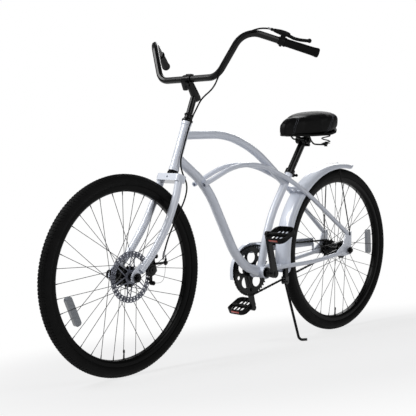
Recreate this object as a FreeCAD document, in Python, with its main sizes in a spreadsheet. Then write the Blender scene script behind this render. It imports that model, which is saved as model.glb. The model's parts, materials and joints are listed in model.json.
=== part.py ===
import FreeCAD, Part
import math
import os
import re

import Sketcher
from FreeCAD import Placement, Rotation, Vector

# Beach cruiser bicycle, leaning on its side stand.
#
# The pieces are worked out on the upright bicycle: +X forward, +Y to the
# rider's left, +Z up, origin on the ground under the rear axle.
# One placement then leans them all to the left, down on to the stand.

doc = FreeCAD.newDocument("beach_cruiser")
sheet = doc.addObject("Spreadsheet::Sheet", "sizes")

# name, value in mm or degrees, what it is
SIZES = [
    ("lean_angle", 9.0, "lean on the side stand"),
    ("axle_gap", 1246.0, "wheelbase"),
    ("tyre_radius", 362.0, "outer radius of a tyre"),
    ("tyre_section", 24.0, "radius of the tyre's round section"),
    ("tyre_depth", 40.0, "from the tyre's tread down to the rim's edge"),
    ("rim_depth", 22.4, "depth of the rim"),
    ("rim_width", 34.0, "width of the rim"),
    ("rim_well", 20.0, "width of the rim's inner face"),
    ("spoke_count", 36, "spokes in a wheel"),
    ("spoke_radius", 1.1, "radius of a spoke"),
    ("flange_radius", 37.0, "flange radius of the front hub"),
    ("flange_gap", 62.0, "distance between the hub flanges"),
    ("flange_thick", 5.0, "thickness of a hub flange"),
    ("front_hub_barrel", 17.0, "barrel radius of the front hub"),
    ("rear_flange_radius", 38.0, "flange radius of the rear hub"),
    ("rear_hub_barrel", 27.0, "barrel radius of the rear hub"),
    ("hub_bore", 5.08, "bore radius of both hubs"),
    ("axle_radius", 5.0, "radius of both wheel axles"),
    ("nut_across", 17.0, "axle nut across its flats"),
    ("nut_height", 9.0, "height of an axle nut"),
    ("head_angle", 69.0, "head tube from the level"),
    ("head_back", 245.0, "lower end of the head tube, behind the front axle"),
    ("head_clear", 6.0, "lower end of the head tube, above the front tyre"),
    ("head_length", 194.0, "length of the head tube"),
    ("head_radius", 18.0, "outer radius of the head tube"),
    ("head_bore", 15.5, "bore radius of the head tube"),
    ("head_play", 0.3, "gap between head tube and headset"),
    ("top_radius", 16.2, "radius of the top tube"),
    ("down_radius", 18.6, "radius of the down tube"),
    ("seat_radius", 16.2, "outer radius of the seat tube"),
    ("seat_bore", 13.6, "bore radius of the seat tube"),
    ("post_radius", 13.5, "radius of the seat post"),
    ("side_radius", 9.5, "radius of the twin side tubes"),
    ("stay_radius", 9.0, "radius of the chain stays"),
    ("tube_wall", 1.8, "wall of the frame tubes"),
    ("shell_x", 513.0, "crank axis, forward"),
    ("shell_drop", 55.0, "crank axis, below the axles"),
    ("shell_radius", 24.0, "outer radius of the crank shell"),
    ("shell_bore", 20.0, "bore radius of the crank shell"),
    ("shell_width", 68.0, "width of the crank shell"),
    ("dropout_y", 66.0, "middle of a rear dropout plate"),
    ("dropout_thick", 5.0, "thickness of a rear dropout plate"),
    ("fork_y", 62.0, "middle of a fork leg at its foot"),
    ("fork_end_thick", 6.0, "thickness of the plates at the fork's feet"),
    ("leg_radius", 14.0, "radius of a fork leg"),
    ("crown_y", 47.0, "middle of a fork leg in the crown"),
    ("steerer_radius", 12.7, "radius of the steerer"),
    ("rotor_radius", 92.0, "radius of the brake rotor"),
    ("rotor_y", 40.0, "middle of the brake rotor"),
    ("rotor_thick", 2.0, "thickness of the brake rotor"),
    ("bar_radius", 11.1, "radius of the handlebar"),
    ("grip_radius", 16.5, "radius of a grip"),
    ("grip_length", 128.0, "length of a grip"),
    ("crank_length", 170.0, "crank length"),
    ("crank_angle", 15.0, "left crank forward of upright"),
    ("crank_y", 77.0, "middle of the left crank arm"),
    ("ring_teeth", 44, "teeth on the chainring"),
    ("sprocket_teeth", 18, "teeth on the sprocket"),
    ("chain_pitch", 12.7, "chain pitch"),
    ("chain_y", 51.0, "middle plane of the chain, to the right"),
    ("tooth_thick", 2.6, "thickness of the toothed wheels"),
    ("pedal_length", 76.0, "pedal, front to back"),
    ("pedal_width", 104.0, "pedal, side to side"),
    ("pedal_height", 27.0, "pedal, up and down"),
    ("pedal_gap", 7.0, "gap between crank arm and pedal"),
    ("pedal_pitch", 15.0, "how far the front of a pedal hangs down"),
    ("fender_gap", 22.0, "outside of the fender, over the tyre"),
    ("fender_width", 62.0, "width of the fender"),
    ("fender_wall", 1.5, "wall of the fender"),
    ("fender_low", -11.5, "front end of the fender, from the level"),
    ("fender_high", 107.0, "rear end of the fender, from the level"),
    ("stand_radius", 5.5, "radius of the side stand's leg"),
    ("stand_back", 120.0, "side stand's pivot, behind the crank axis"),
    ("stand_y", 33.0, "side stand's pivot, to the left"),
    ("stand_drop", 49.0, "side stand's pivot, below the crank axis"),
    ("stand_turn", 10.0, "pivot axis of the side stand, turned in plan"),
    ("saddle_length", 268.0, "saddle, front to back"),
    ("saddle_width", 244.0, "saddle, side to side"),
]
# name, how it follows from the sizes above, what it is
DERIVED = [
    ("rim_edge", "tyre_radius - tyre_depth", "outer radius of the rim"),
    ("rim_inner", "rim_edge - rim_depth", "inner radius of the rim"),
    ("fender_radius", "tyre_radius + fender_gap", "outer radius of the fender"),
]
rows = [(name, str(value), note) for name, value, note in SIZES]
rows += [(name, "=" + formula, note) for name, formula, note in DERIVED]
for row, (name, value, note) in enumerate(rows, start=1):
    sheet.set(f"A{row}", note)
    sheet.set(f"B{row}", value)
    sheet.setAlias(f"B{row}", name)
doc.recompute()


def size(name):
    return float(sheet.get(name))


LEAN = math.radians(size("lean_angle"))
R_TYRE = size("tyre_radius")
SECTION = size("tyre_section")
REAR_AXLE = Vector(0, 0, R_TYRE)
FRONT_AXLE = Vector(size("axle_gap"), 0, R_TYRE)
SHELL = Vector(size("shell_x"), 0, R_TYRE - size("shell_drop"))

pieces = []


def keep(thing, label, place=None):
    """Name a finished piece and note its place on the upright bicycle."""
    thing.Label = label
    pieces.append((thing, place or Placement()))
    return thing


def solid(label, shape, place=None):
    thing = doc.addObject("Part::Feature", label)
    thing.Shape = shape
    return keep(thing, label, place)


def cells(text):
    """Turn plain size names in an expression into references to the sheet."""
    return NAMES.sub(lambda found: "sizes." + found.group(0), text)


NAMES = re.compile(r"\b(" + "|".join(name for name, value, note in rows) + r")\b")


def plane_of(body, role):
    return next(item for item in body.Origin.OriginFeatures if item.Role == role)


def start_sketch(body, role, name):
    sketch = body.newObject("Sketcher::SketchObject", name)
    sketch.AttachmentSupport = [(plane_of(body, role), "")]
    sketch.MapMode = "FlatFace"
    return sketch


def fix_point(sketch, edge, end, across, up):
    """Tie one end of an edge to its distances from the sketch's origin."""
    for kind, text in (("DistanceX", across), ("DistanceY", up)):
        value = float(sketch.evalExpression(cells(text)))
        if abs(value) < 1e-9:
            axis = -2 if kind == "DistanceX" else -1
            sketch.addConstraint(Sketcher.Constraint("PointOnObject", edge, end, axis))
            continue
        number = sketch.addConstraint(
            Sketcher.Constraint(kind, -1, 1, edge, end, value))
        sketch.setExpression(f"Constraints[{number}]", cells(text))


def draw_outline(sketch, rows):
    """Closed outline through corners, each a pair of expressions."""
    def corner(row):
        across, up = row
        return Vector(float(sketch.evalExpression(cells(across))),
                      float(sketch.evalExpression(cells(up))), 0)
    count = len(rows)
    first = sketch.GeometryCount
    for number in range(count):
        edge = Part.LineSegment(corner(rows[number]), corner(rows[(number + 1) % count]))
        sketch.addGeometry(edge, False)
    for number in range(count):
        sketch.addConstraint(Sketcher.Constraint(
            "Coincident", first + number, 2, first + (number + 1) % count, 1))
    for number, (across, up) in enumerate(rows):
        fix_point(sketch, first + number, 1, across, up)


def draw_circle(sketch, across, up, radius):
    middle = Vector(float(sketch.evalExpression(cells(across))),
                    float(sketch.evalExpression(cells(up))), 0)
    value = float(sketch.evalExpression(cells(radius)))
    edge = sketch.addGeometry(Part.Circle(middle, Vector(0, 0, 1), value), False)
    fix_point(sketch, edge, 3, across, up)
    number = sketch.addConstraint(Sketcher.Constraint("Radius", edge, value))
    sketch.setExpression(f"Constraints[{number}]", cells(radius))


def turned(label, rows, place):
    """Body turned about its own Y axis, from (radius, along) corners."""
    body = doc.addObject("PartDesign::Body", label)
    sketch = start_sketch(body, "XY_Plane", label + "_profile")
    draw_outline(sketch, rows)
    turn = body.newObject("PartDesign::Revolution", label + "_turn")
    turn.Profile = sketch
    turn.ReferenceAxis = (sketch, ["V_Axis"])
    turn.Angle = 360
    return keep(body, label, place)


def plate(label, thickness, draw, place):
    """Body padded evenly both sides of its own XZ plane."""
    body = doc.addObject("PartDesign::Body", label)
    sketch = start_sketch(body, "XZ_Plane", label + "_outline")
    draw(sketch)
    pad = body.newObject("PartDesign::Pad", label + "_pad")
    pad.Profile = sketch
    pad.Midplane = True
    pad.setExpression("Length", cells(thickness))
    return keep(body, label, place)


def rod(start, end, radius, inner=0.0):
    """Straight round bar or tube between two points."""
    along = end - start
    bar = Part.makeCylinder(radius, along.Length, start, along)
    if inner > 0:
        bar = bar.cut(Part.makeCylinder(inner, along.Length, start, along))
    return bar


def rounded(points, share=0.45):
    """Straight runs joined by tangent arcs, each as large as its runs allow."""
    edges = []
    last = points[0]
    for before, here, after in zip(points, points[1:], points[2:]):
        coming = (here - before)
        going = (after - here)
        reach = share * min(coming.Length, going.Length)
        coming.normalize()
        going.normalize()
        turn = coming.getAngle(going)
        radius = reach / math.tan(turn / 2)
        first = here - coming * reach
        second = here + going * reach
        bisector = (going - coming)
        bisector.normalize()
        centre = here + bisector * (radius / math.cos(turn / 2))
        middle = centre - bisector * radius
        edges.append(Part.LineSegment(last, first).toShape())
        edges.append(Part.Arc(first, middle, second).toShape())
        last = second
    edges.append(Part.LineSegment(last, points[-1]).toShape())
    return Part.Wire(edges)


def pipe(path, radius):
    """Round bar along a path."""
    start = path.Vertexes[0].Point
    first = path.Edges[0]
    along = first.tangentAt(first.FirstParameter)
    ring = Part.Wire([Part.Circle(start, along, radius).toShape()])
    return path.makePipeShell([ring], True, False)


def bent(points, radius, wall=0.0):
    """Bent bar through points, or a tube where it has a wall."""
    path = rounded(points)
    bar = pipe(path, radius)
    if wall > 0:
        bar = bar.cut(pipe(path, radius - wall))
    return bar


def on_y(point):
    """Placement of a piece turned about Y, centred on a point."""
    return Placement(point, Rotation())


def along(point, direction):
    """Placement that turns a piece's own Y on to a direction."""
    return Placement(point, Rotation(Vector(0, 1, 0), direction))


def tilted(degrees):
    """Unit vector in the side view, this far up from backwards."""
    angle = math.radians(degrees)
    return Vector(-math.cos(angle), 0, math.sin(angle))


def plate_space(rows, middle, thickness):
    """The block that a plate's outline sweeps through its thickness."""
    corners = []
    for across, up in rows:
        x = float(sheet.evalExpression(cells(across)))
        z = float(sheet.evalExpression(cells(up)))
        corners.append(middle + Vector(x, -thickness / 2, z))
    face = Part.Face(Part.makePolygon(corners + corners[:1]))
    return face.extrude(Vector(0, thickness, 0))


def carried(drawn, real):
    """Map for drawn side-view points that takes three drawn places to the real ones."""
    start, second, third = drawn
    second_x, second_z = second[0] - start[0], second[1] - start[1]
    third_x, third_z = third[0] - start[0], third[1] - start[1]
    area = second_x * third_z - second_z * third_x

    def move(x, z, y=0.0):
        toward_second = ((x - start[0]) * third_z - (z - start[1]) * third_x) / area
        toward_third = ((z - start[1]) * second_x - (x - start[0]) * second_z) / area
        return (real[0] + (real[1] - real[0]) * toward_second
                + (real[2] - real[0]) * toward_third + Vector(0, y, 0))
    return move


# Steering axis and head tube
STEER = tilted(size("head_angle"))
HEAD_LOW = Vector(FRONT_AXLE.x - size("head_back"), 0, 2 * R_TYRE + size("head_clear"))
HEAD_TOP = HEAD_LOW + STEER * size("head_length")

# The bent tubes are drawn for these places, and follow the real ones
on_frame = carried([(0, 362), (513, 307), (1001, 730)], [REAR_AXLE, SHELL, HEAD_LOW])
on_fork = carried([(1001, 730), (931.5, 911.1), (1246, 362)], [HEAD_LOW, HEAD_TOP, FRONT_AXLE])
FLARE = 1.5
turned("head_tube", [
    ("head_bore", "0"),
    ("head_radius + 1.5", "0"),
    ("head_radius + 1.5", "11"),
    ("head_radius", "15"),
    ("head_radius", "head_length - 15"),
    ("head_radius + 1.5", "head_length - 11"),
    ("head_radius + 1.5", "head_length"),
    ("head_bore", "head_length"),
], along(HEAD_LOW, STEER))
head_space = rod(HEAD_LOW, HEAD_TOP, size("head_radius"))

# Crank shell across the frame
half_shell = size("shell_width") / 2
plate("crank_shell", "shell_width", lambda sketch: (
    draw_circle(sketch, "0", "0", "shell_radius"),
    draw_circle(sketch, "0", "0", "shell_bore")), on_y(SHELL))
shell_space = rod(SHELL - Vector(0, half_shell, 0), SHELL + Vector(0, half_shell, 0),
                  size("shell_radius"))
bearing_space = rod(SHELL - Vector(0, 2 * half_shell, 0), SHELL + Vector(0, 2 * half_shell, 0),
                    size("shell_radius"))

# Routes of the bent frame tubes in the side view: forward, up
TOP_ROUTE = [(950, 862), (716, 868.5), (553, 808), (358.7, 666.5)]
DOWN_ROUTE = [(981.5, 778.4), (826, 669), (669, 395), (595, 330.5)]
SEAT_ROUTE = [(323, 719), (437.5, 550), (476, 455)]


def side_view(route):
    return [on_frame(x, z) for x, z in route]


wall = size("tube_wall")
down_points = side_view(DOWN_ROUTE) + [SHELL]
seat_points = side_view(SEAT_ROUTE) + [SHELL]
down_bar = bent(down_points, size("down_radius"))
seat_bar = bent(seat_points, size("seat_radius"))
top_bar = bent(side_view(TOP_ROUTE), size("top_radius"))

down_tube = bent(down_points, size("down_radius"), wall).cut(head_space).cut(shell_space)
solid("down_tube", down_tube)
seat_tube = seat_bar.cut(pipe(rounded(seat_points), size("seat_bore")))
solid("seat_tube", seat_tube.cut(shell_space).cut(down_bar))
top_tube = bent(side_view(TOP_ROUTE), size("top_radius"), wall)
solid("top_tube", top_tube.cut(head_space).cut(seat_bar))

# Rear dropout plates, each with a slot for the axle and an eye for the fender stay
DROPOUT = [
    ("-24", "84"),
    ("16", "74"),
    ("36", "26"),
    ("78", "0"),
    ("72", "-21"),
    ("16", "-23"),
    ("-24", "-18"),
    ("-24", "0 - axle_radius - 0.2"),
    ("2", "0 - axle_radius - 0.2"),
    ("axle_radius + 0.2", "-2"),
    ("axle_radius + 0.2", "2"),
    ("2", "axle_radius + 0.2"),
    ("-24", "axle_radius + 0.2"),
]
EYE = (-8.0, 68.0)


def draw_dropout(sketch):
    draw_outline(sketch, DROPOUT)
    draw_circle(sketch, "-8", "68", "2.6")
    draw_circle(sketch, "0", "31", "2.6")


for side, name in ((1, "left"), (-1, "right")):
    middle = REAR_AXLE + Vector(0, side * size("dropout_y"), 0)
    plate("dropout_" + name, "dropout_thick", draw_dropout, on_y(middle))

# Twin side tubes, from beside the down tube back to the dropouts, and chain stays
SIDE_ROUTE = [
    (868, 27.6, 675),
    (695, 27.6, 748),
    (534, 26.2, 748),
    (365, 25.2, 687),
    (255, 44.5, 619),
]
STAY_ROUTE = [(500, 26, 313), (425, 33.5, 321), (372, 46, 325), (235, 60, 330)]
SIDE_END = (6, 76)
STAY_END = (44, -9)
for side, name in ((1, "left"), (-1, "right")):
    foot_y = side * size("dropout_y")
    slot = plate_space(DROPOUT, REAR_AXLE + Vector(0, foot_y, 0), size("dropout_thick"))
    side_points = [on_frame(x, z, side * y) for x, y, z in SIDE_ROUTE]
    side_points.append(REAR_AXLE + Vector(SIDE_END[0], foot_y, SIDE_END[1]))
    stay_points = [on_frame(x, z, side * y) for x, y, z in STAY_ROUTE]
    stay_points.append(REAR_AXLE + Vector(STAY_END[0], foot_y, STAY_END[1]))
    side_tube = bent(side_points, size("side_radius"), wall)
    for neighbour in (down_bar, seat_bar, top_bar, slot):
        side_tube = side_tube.cut(neighbour)
    solid("side_tube_" + name, side_tube)
    stay = bent(stay_points, size("stay_radius"), wall)
    for neighbour in (bearing_space, seat_bar, slot):
        stay = stay.cut(neighbour)
    solid("chain_stay_" + name, stay)

# Steerer, fork crown, legs and their end plates
CROWN_DROP = 30.0
CROWN_HEIGHT = 26.0
STEM_RISE = 96.0
crown_middle = HEAD_LOW - STEER * CROWN_DROP
steerer_top = HEAD_TOP + STEER * 30
CROWN_BORE = 4.0
steerer_low = crown_middle + STEER * (CROWN_BORE + 2)
steerer = rod(steerer_low, steerer_top, size("steerer_radius"), 11.2)
crown_reach = size("crown_y") + size("leg_radius")
LEG_ROUTE = [(1038, 54, 640), (1090, 60, 533), (1160, 62, 440), (1222, 62, 381)]
FORK_END = [
    ("-44", "28"),
    ("-24", "46"),
    ("8", "20"),
    ("16", "6"),
    ("16", "-14"),
    ("axle_radius + 0.2", "-18"),
    ("axle_radius + 0.2", "2"),
    ("2", "axle_radius + 0.2"),
    ("-2", "axle_radius + 0.2"),
    ("0 - axle_radius - 0.2", "2"),
    ("0 - axle_radius - 0.2", "-18"),
    ("-15", "-15"),
    ("-20", "0"),
]
crown = Part.makeBox(44, 2 * crown_reach, CROWN_HEIGHT, Vector(-20, -crown_reach, -CROWN_HEIGHT / 2))
crown = crown.makeFillet(12, [edge for edge in crown.Edges
                              if abs(edge.tangentAt(0).z) > 0.9])
crown.Placement = Placement(crown_middle, Rotation(Vector(0, 0, 1), STEER))
crown_hole = rod(Vector(-60, 0, 0), Vector(60, 0, 0), CROWN_BORE)
crown_hole.Placement = crown.Placement
crown = crown.cut(crown_hole).cut(rod(steerer_low, steerer_top, size("steerer_radius")))
leg_bars = []
for side, name in ((1, "left"), (-1, "right")):
    points = [crown_middle + Vector(6, side * size("crown_y"), 0)]
    points += [on_fork(x, z, side * y) for x, y, z in LEG_ROUTE]
    end_middle = FRONT_AXLE + Vector(0, side * size("fork_y"), 0)
    end_space = plate_space(FORK_END, end_middle, size("fork_end_thick"))
    leg = bent(points, size("leg_radius"), wall)
    leg_bars.append(bent(points, size("leg_radius")))
    solid("fork_leg_" + name, leg.fuse(end_space))
crown = crown.cut(leg_bars[0]).cut(leg_bars[1])
solid("fork_crown", crown.fuse(steerer))

# Headset cups and the nut above them
LOWER_GAP = CROWN_DROP - CROWN_HEIGHT / 2
turned("headset_lower", [
    ("steerer_radius", "0"),
    ("head_radius + 2.5", "0"),
    ("head_radius + 3.5", "9"),
    ("head_radius", f"{LOWER_GAP} - head_play"),
    ("steerer_radius", f"{LOWER_GAP} - head_play"),
], along(HEAD_LOW - STEER * LOWER_GAP, STEER))
turned("headset_upper", [
    ("steerer_radius", "0"),
    ("head_radius", "0"),
    ("head_radius + 1.5", "5"),
    ("head_radius - 1", "13"),
    ("head_radius - 3", "15"),
    ("head_radius - 3", "24"),
    ("steerer_radius", "30"),
], along(HEAD_TOP + STEER * size("head_play"), STEER))

# Stem: quill up the steering axis, then forward to the bar clamp
BAR_MIDDLE = on_fork(925, 1072)
QUILL_RADIUS = 10.8
NECK_RADIUS = 14.0
CLAMP_RADIUS = 17.0
CLAMP_HALF = 21.0
quill_low = HEAD_TOP - STEER * 40
stem_bend = HEAD_TOP + STEER * STEM_RISE
stem_bar = bent([quill_low, stem_bend, BAR_MIDDLE], QUILL_RADIUS)
stem_neck = rod(stem_bend + (BAR_MIDDLE - stem_bend) * 0.12, BAR_MIDDLE, NECK_RADIUS)
clamp = rod(BAR_MIDDLE - Vector(0, CLAMP_HALF, 0), BAR_MIDDLE + Vector(0, CLAMP_HALF, 0),
            CLAMP_RADIUS)
bar_space = rod(BAR_MIDDLE - Vector(0, 60, 0), BAR_MIDDLE + Vector(0, 60, 0),
                size("bar_radius"))
solid("stem", stem_bar.fuse([stem_neck, clamp]).cut(bar_space).removeSplitter())

# Handlebar, wide and swept back, with its grips
BAR_ROUTE = [(925, 150, 1072), (880, 243, 1240)]
BAR_END = on_fork(663, 1160, 404)
half_bar = [on_fork(x, z, y) for x, y, z in BAR_ROUTE]
left_points = half_bar + [BAR_END]
right_points = [Vector(p.x, -p.y, p.z) for p in reversed(left_points)]
bar_path = rounded(right_points + left_points, 0.32)
solid("handlebar", pipe(bar_path, size("bar_radius")).cut(
    pipe(bar_path, size("bar_radius") - 2)))
sweep = BAR_END - half_bar[-1]
sweep.normalize()
for side, name in ((1, "left"), (-1, "right")):
    end = Vector(BAR_END.x, side * BAR_END.y, BAR_END.z)
    back = Vector(sweep.x, side * sweep.y, sweep.z)
    turned("grip_" + name, [
        ("bar_radius", "0 - grip_length"),
        ("grip_radius + 4", "0 - grip_length"),
        ("grip_radius + 4", "4 - grip_length"),
        ("grip_radius - 1", "8 - grip_length"),
        ("grip_radius", "0 - grip_length / 2"),
        ("grip_radius - 1", "-12"),
        ("grip_radius + 3", "-4"),
        ("grip_radius + 3", "0"),
        ("grip_radius", "4"),
        ("0", "4"),
        ("0", "0"),
        ("bar_radius", "0"),
    ], along(end, back))


def tyre(label, middle):
    """Round-section ring, cut flat where it sits on the rim."""
    ring = doc.addObject("Part::Torus", label + "_ring")
    ring.setExpression("Radius1", "sizes.tyre_radius - sizes.tyre_section")
    ring.setExpression("Radius2", "sizes.tyre_section")
    seat = doc.addObject("Part::Cylinder", label + "_seat")
    seat.setExpression("Radius", "sizes.rim_edge")
    seat.setExpression("Height", "4 * sizes.tyre_section")
    seat.setExpression("Placement.Base.z", "-2 * sizes.tyre_section")
    cover = doc.addObject("Part::Cut", label)
    cover.Base = ring
    cover.Tool = seat
    keep(cover, label, Placement(middle, Rotation(Vector(1, 0, 0), -90)))


def rim(label, middle):
    turned(label, [
        ("rim_edge", "0 - rim_width / 2"),
        ("rim_edge", "2.2 - rim_width / 2"),
        ("rim_edge - 12", "2.2 - rim_width / 2"),
        ("rim_edge - 16", "6 - rim_width / 2"),
        ("rim_edge - 16", "rim_width / 2 - 6"),
        ("rim_edge - 12", "rim_width / 2 - 2.2"),
        ("rim_edge", "rim_width / 2 - 2.2"),
        ("rim_edge", "rim_width / 2"),
        ("rim_inner + 8", "rim_width / 2"),
        ("rim_inner", "rim_well / 2"),
        ("rim_inner", "0 - rim_well / 2"),
        ("rim_inner + 8", "0 - rim_width / 2"),
    ], on_y(middle))


def spokes(label, middle, flange):
    """Spokes in crossing pairs, alternating from flange to flange."""
    bars = []
    count = int(size("spoke_count"))
    step = 360.0 / count
    for number in range(count):
        side = 1 if number % 2 == 0 else -1
        lead = 1 if number % 4 < 2 else -1
        at_rim = math.radians(number * step)
        at_hub = at_rim + lead * math.radians(6 * step)
        hub_y = side * (size("flange_gap") / 2 + lead * 1.9)
        start = Vector(flange * math.cos(at_hub), hub_y, flange * math.sin(at_hub))
        end_radius = size("rim_inner") - 0.1
        end = Vector(end_radius * math.cos(at_rim), side * 3, end_radius * math.sin(at_rim))
        bars.append(rod(middle + start, middle + end, size("spoke_radius")))
    solid(label, Part.makeCompound(bars))


# Both wheels
for name, middle, flange in (("front", FRONT_AXLE, "flange_radius"),
                             ("rear", REAR_AXLE, "rear_flange_radius")):
    tyre(name + "_tyre", middle)
    rim(name + "_rim", middle)
    spokes(name + "_spokes", middle, size(flange) + size("spoke_radius"))

FLANGE_OUT = "flange_gap / 2 + flange_thick / 2"
FLANGE_IN = "flange_gap / 2 - flange_thick / 2"
turned("front_hub", [
    ("hub_bore", "-50"),
    ("14", "-50"),
    ("14", f"0 - ({FLANGE_OUT})"),
    ("flange_radius", f"0 - ({FLANGE_OUT})"),
    ("flange_radius", f"0 - ({FLANGE_IN})"),
    ("flange_radius - 12", f"0 - ({FLANGE_IN})"),
    ("front_hub_barrel", "-18"),
    ("front_hub_barrel", "18"),
    ("flange_radius - 12", FLANGE_IN),
    ("flange_radius", FLANGE_IN),
    ("flange_radius", FLANGE_OUT),
    ("24", FLANGE_OUT),
    ("24", "rotor_y - rotor_thick / 2"),
    ("14", "rotor_y - rotor_thick / 2"),
    ("14", "50"),
    ("hub_bore", "50"),
], on_y(FRONT_AXLE))
turned("rear_hub", [
    ("hub_bore", "-39"),
    ("22", "-39"),
    ("24", f"0 - ({FLANGE_OUT})"),
    ("rear_flange_radius", f"0 - ({FLANGE_OUT})"),
    ("rear_flange_radius", f"0 - ({FLANGE_IN})"),
    ("rear_hub_barrel", "-22"),
    ("rear_hub_barrel", "22"),
    ("rear_flange_radius", FLANGE_IN),
    ("rear_flange_radius", FLANGE_OUT),
    ("31", FLANGE_OUT),
    ("30", "40"),
    ("hub_bore", "40"),
], on_y(REAR_AXLE))


def axle(label, middle, half, thick, hub_half, lock_radius):
    """Axle with a lock nut inside each plate and a hexagon nut outside it."""
    bar = rod(middle - Vector(0, half + 16, 0), middle + Vector(0, half + 16, 0),
              size("axle_radius"))
    for side in (1, -1):
        inner = middle + Vector(0, side * hub_half, 0)
        bar = bar.fuse(rod(inner, middle + Vector(0, side * half, 0), lock_radius))
        corners = []
        corner_radius = size("nut_across") / math.sqrt(3)
        for number in range(6):
            angle = math.radians(60 * number + 30)
            corners.append(middle + Vector(corner_radius * math.cos(angle),
                                           side * (half + thick),
                                           corner_radius * math.sin(angle)))
        nut = Part.Face(Part.makePolygon(corners + corners[:1])).extrude(
            Vector(0, side * size("nut_height"), 0))
        bar = bar.fuse(nut)
    solid(label, bar.removeSplitter())


fork_thick = size("fork_end_thick")
dropout_thick = size("dropout_thick")
axle("front_axle", FRONT_AXLE, size("fork_y") - fork_thick / 2, fork_thick, 50.5, 8.5)
axle("rear_axle", REAR_AXLE, size("dropout_y") - dropout_thick / 2, dropout_thick, 56.5, 9.5)


def pattern(body, feature, sketch, count):
    """Repeat a cut round the sketch's own middle."""
    ring = body.newObject("PartDesign::PolarPattern", feature.Name + "_ring")
    ring.Originals = [feature]
    ring.Axis = (sketch, ["N_Axis"])
    ring.Angle = 360
    ring.Occurrences = int(count)
    body.Tip = ring
    return ring


def cut_through(body, sketch, name):
    hole = body.newObject("PartDesign::Pocket", name)
    hole.Profile = sketch
    hole.Midplane = True
    hole.Length = 40
    return hole


# Brake rotor: windows between slanted arms, holes in the track, scallops at the edge
rotor = plate("brake_rotor", "rotor_thick", lambda sketch: (
    draw_circle(sketch, "0", "0", "rotor_radius"),
    draw_circle(sketch, "0", "0", "14.1")),
    on_y(FRONT_AXLE + Vector(0, size("rotor_y"), 0)))
ROTOR_CUTS = {
    "window": (6, [("29", "-3"), ("rotor_radius - 24", "-2"), ("rotor_radius - 27", "26"),
                   ("rotor_radius - 40", "35"), ("27", "16")]),
    "slot": (12, [("rotor_radius - 17", "-3"), ("rotor_radius - 7", "0"),
                  ("rotor_radius - 9", "4"), ("rotor_radius - 18", "2")]),
    "scallop": (12, [("rotor_radius - 3", "-9"), ("rotor_radius + 4", "-13"),
                     ("rotor_radius + 4", "13"), ("rotor_radius - 3", "9")]),
}
for name, (count, rows) in ROTOR_CUTS.items():
    cut_sketch = start_sketch(rotor, "XZ_Plane", "rotor_" + name)
    draw_outline(cut_sketch, rows)
    pattern(rotor, cut_through(rotor, cut_sketch, "rotor_" + name + "_cut"),
            cut_sketch, count)

# Caliper behind the left fork leg, with a slot for the rotor
caliper_way = tilted(16)
CALIPER_AT = FRONT_AXLE + caliper_way * (size("rotor_radius") + 3.6)
CALIPER_SLOT = 1.7
caliper_low = size("rotor_y") - 8.5
caliper_high = size("rotor_y") + 20
caliper = Part.makeBox(42, caliper_high - caliper_low, 52, Vector(-21, caliper_low, -26))
caliper = caliper.makeFillet(7, [edge for edge in caliper.Edges
                                 if abs(edge.tangentAt(0).y) > 0.9])
caliper.Placement = Placement(CALIPER_AT, Rotation(Vector(0, 1, 0), 16))
rotor_room = rod(FRONT_AXLE + Vector(0, size("rotor_y") - CALIPER_SLOT, 0),
                 FRONT_AXLE + Vector(0, size("rotor_y") + CALIPER_SLOT, 0),
                 size("rotor_radius") + 6)
caliper_bolt = rod(CALIPER_AT + Vector(-4, 52, 20), CALIPER_AT + Vector(19, 58, 42), 6)
caliper = caliper.fuse(caliper_bolt).cut(rotor_room).cut(leg_bars[0])
solid("brake_caliper", max(caliper.Solids, key=lambda part: part.Volume))


def toothed(count, thick, bore, middle, holes=()):
    """Sprocket plate for the chain, with flat-topped teeth."""
    pitch_radius = size("chain_pitch") / (2 * math.sin(math.pi / count))
    rows = ((-0.27, pitch_radius - 3.6), (-0.13, pitch_radius + 2.6),
            (0.13, pitch_radius + 2.6), (0.27, pitch_radius - 3.6))
    corners = []
    for tooth in range(count):
        for share, radius in rows:
            angle = 2 * math.pi * (tooth + share) / count
            corners.append(middle + Vector(radius * math.cos(angle), -thick / 2,
                                           radius * math.sin(angle)))
    ring = Part.Face(Part.makePolygon(corners + corners[:1])).extrude(Vector(0, thick, 0))
    half = Vector(0, thick, 0)
    ring = ring.cut(rod(middle - half, middle + half, bore))
    for hole_count, at_radius, hole_radius, turn in holes:
        for number in range(hole_count):
            angle = 2 * math.pi * number / hole_count + math.radians(turn)
            spot = middle + Vector(at_radius * math.cos(angle), 0, at_radius * math.sin(angle))
            ring = ring.cut(rod(spot - half, spot + half, hole_radius))
    return ring


def pitch_radius_of(count):
    return size("chain_pitch") / (2 * math.sin(math.pi / count))


# Sprocket on its driver, right of the rear hub
CHAIN_Y = -size("chain_y")
SPROCKET = Vector(0, CHAIN_Y, R_TYRE)
driver_start = Vector(0, -39.3, R_TYRE)
driver_end = Vector(0, CHAIN_Y - 5, R_TYRE)
driver = rod(driver_start, driver_end, 21, size("hub_bore"))
gear = toothed(int(size("sprocket_teeth")), size("tooth_thick"), 20, SPROCKET)
solid("sprocket", driver.fuse(gear))

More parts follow.
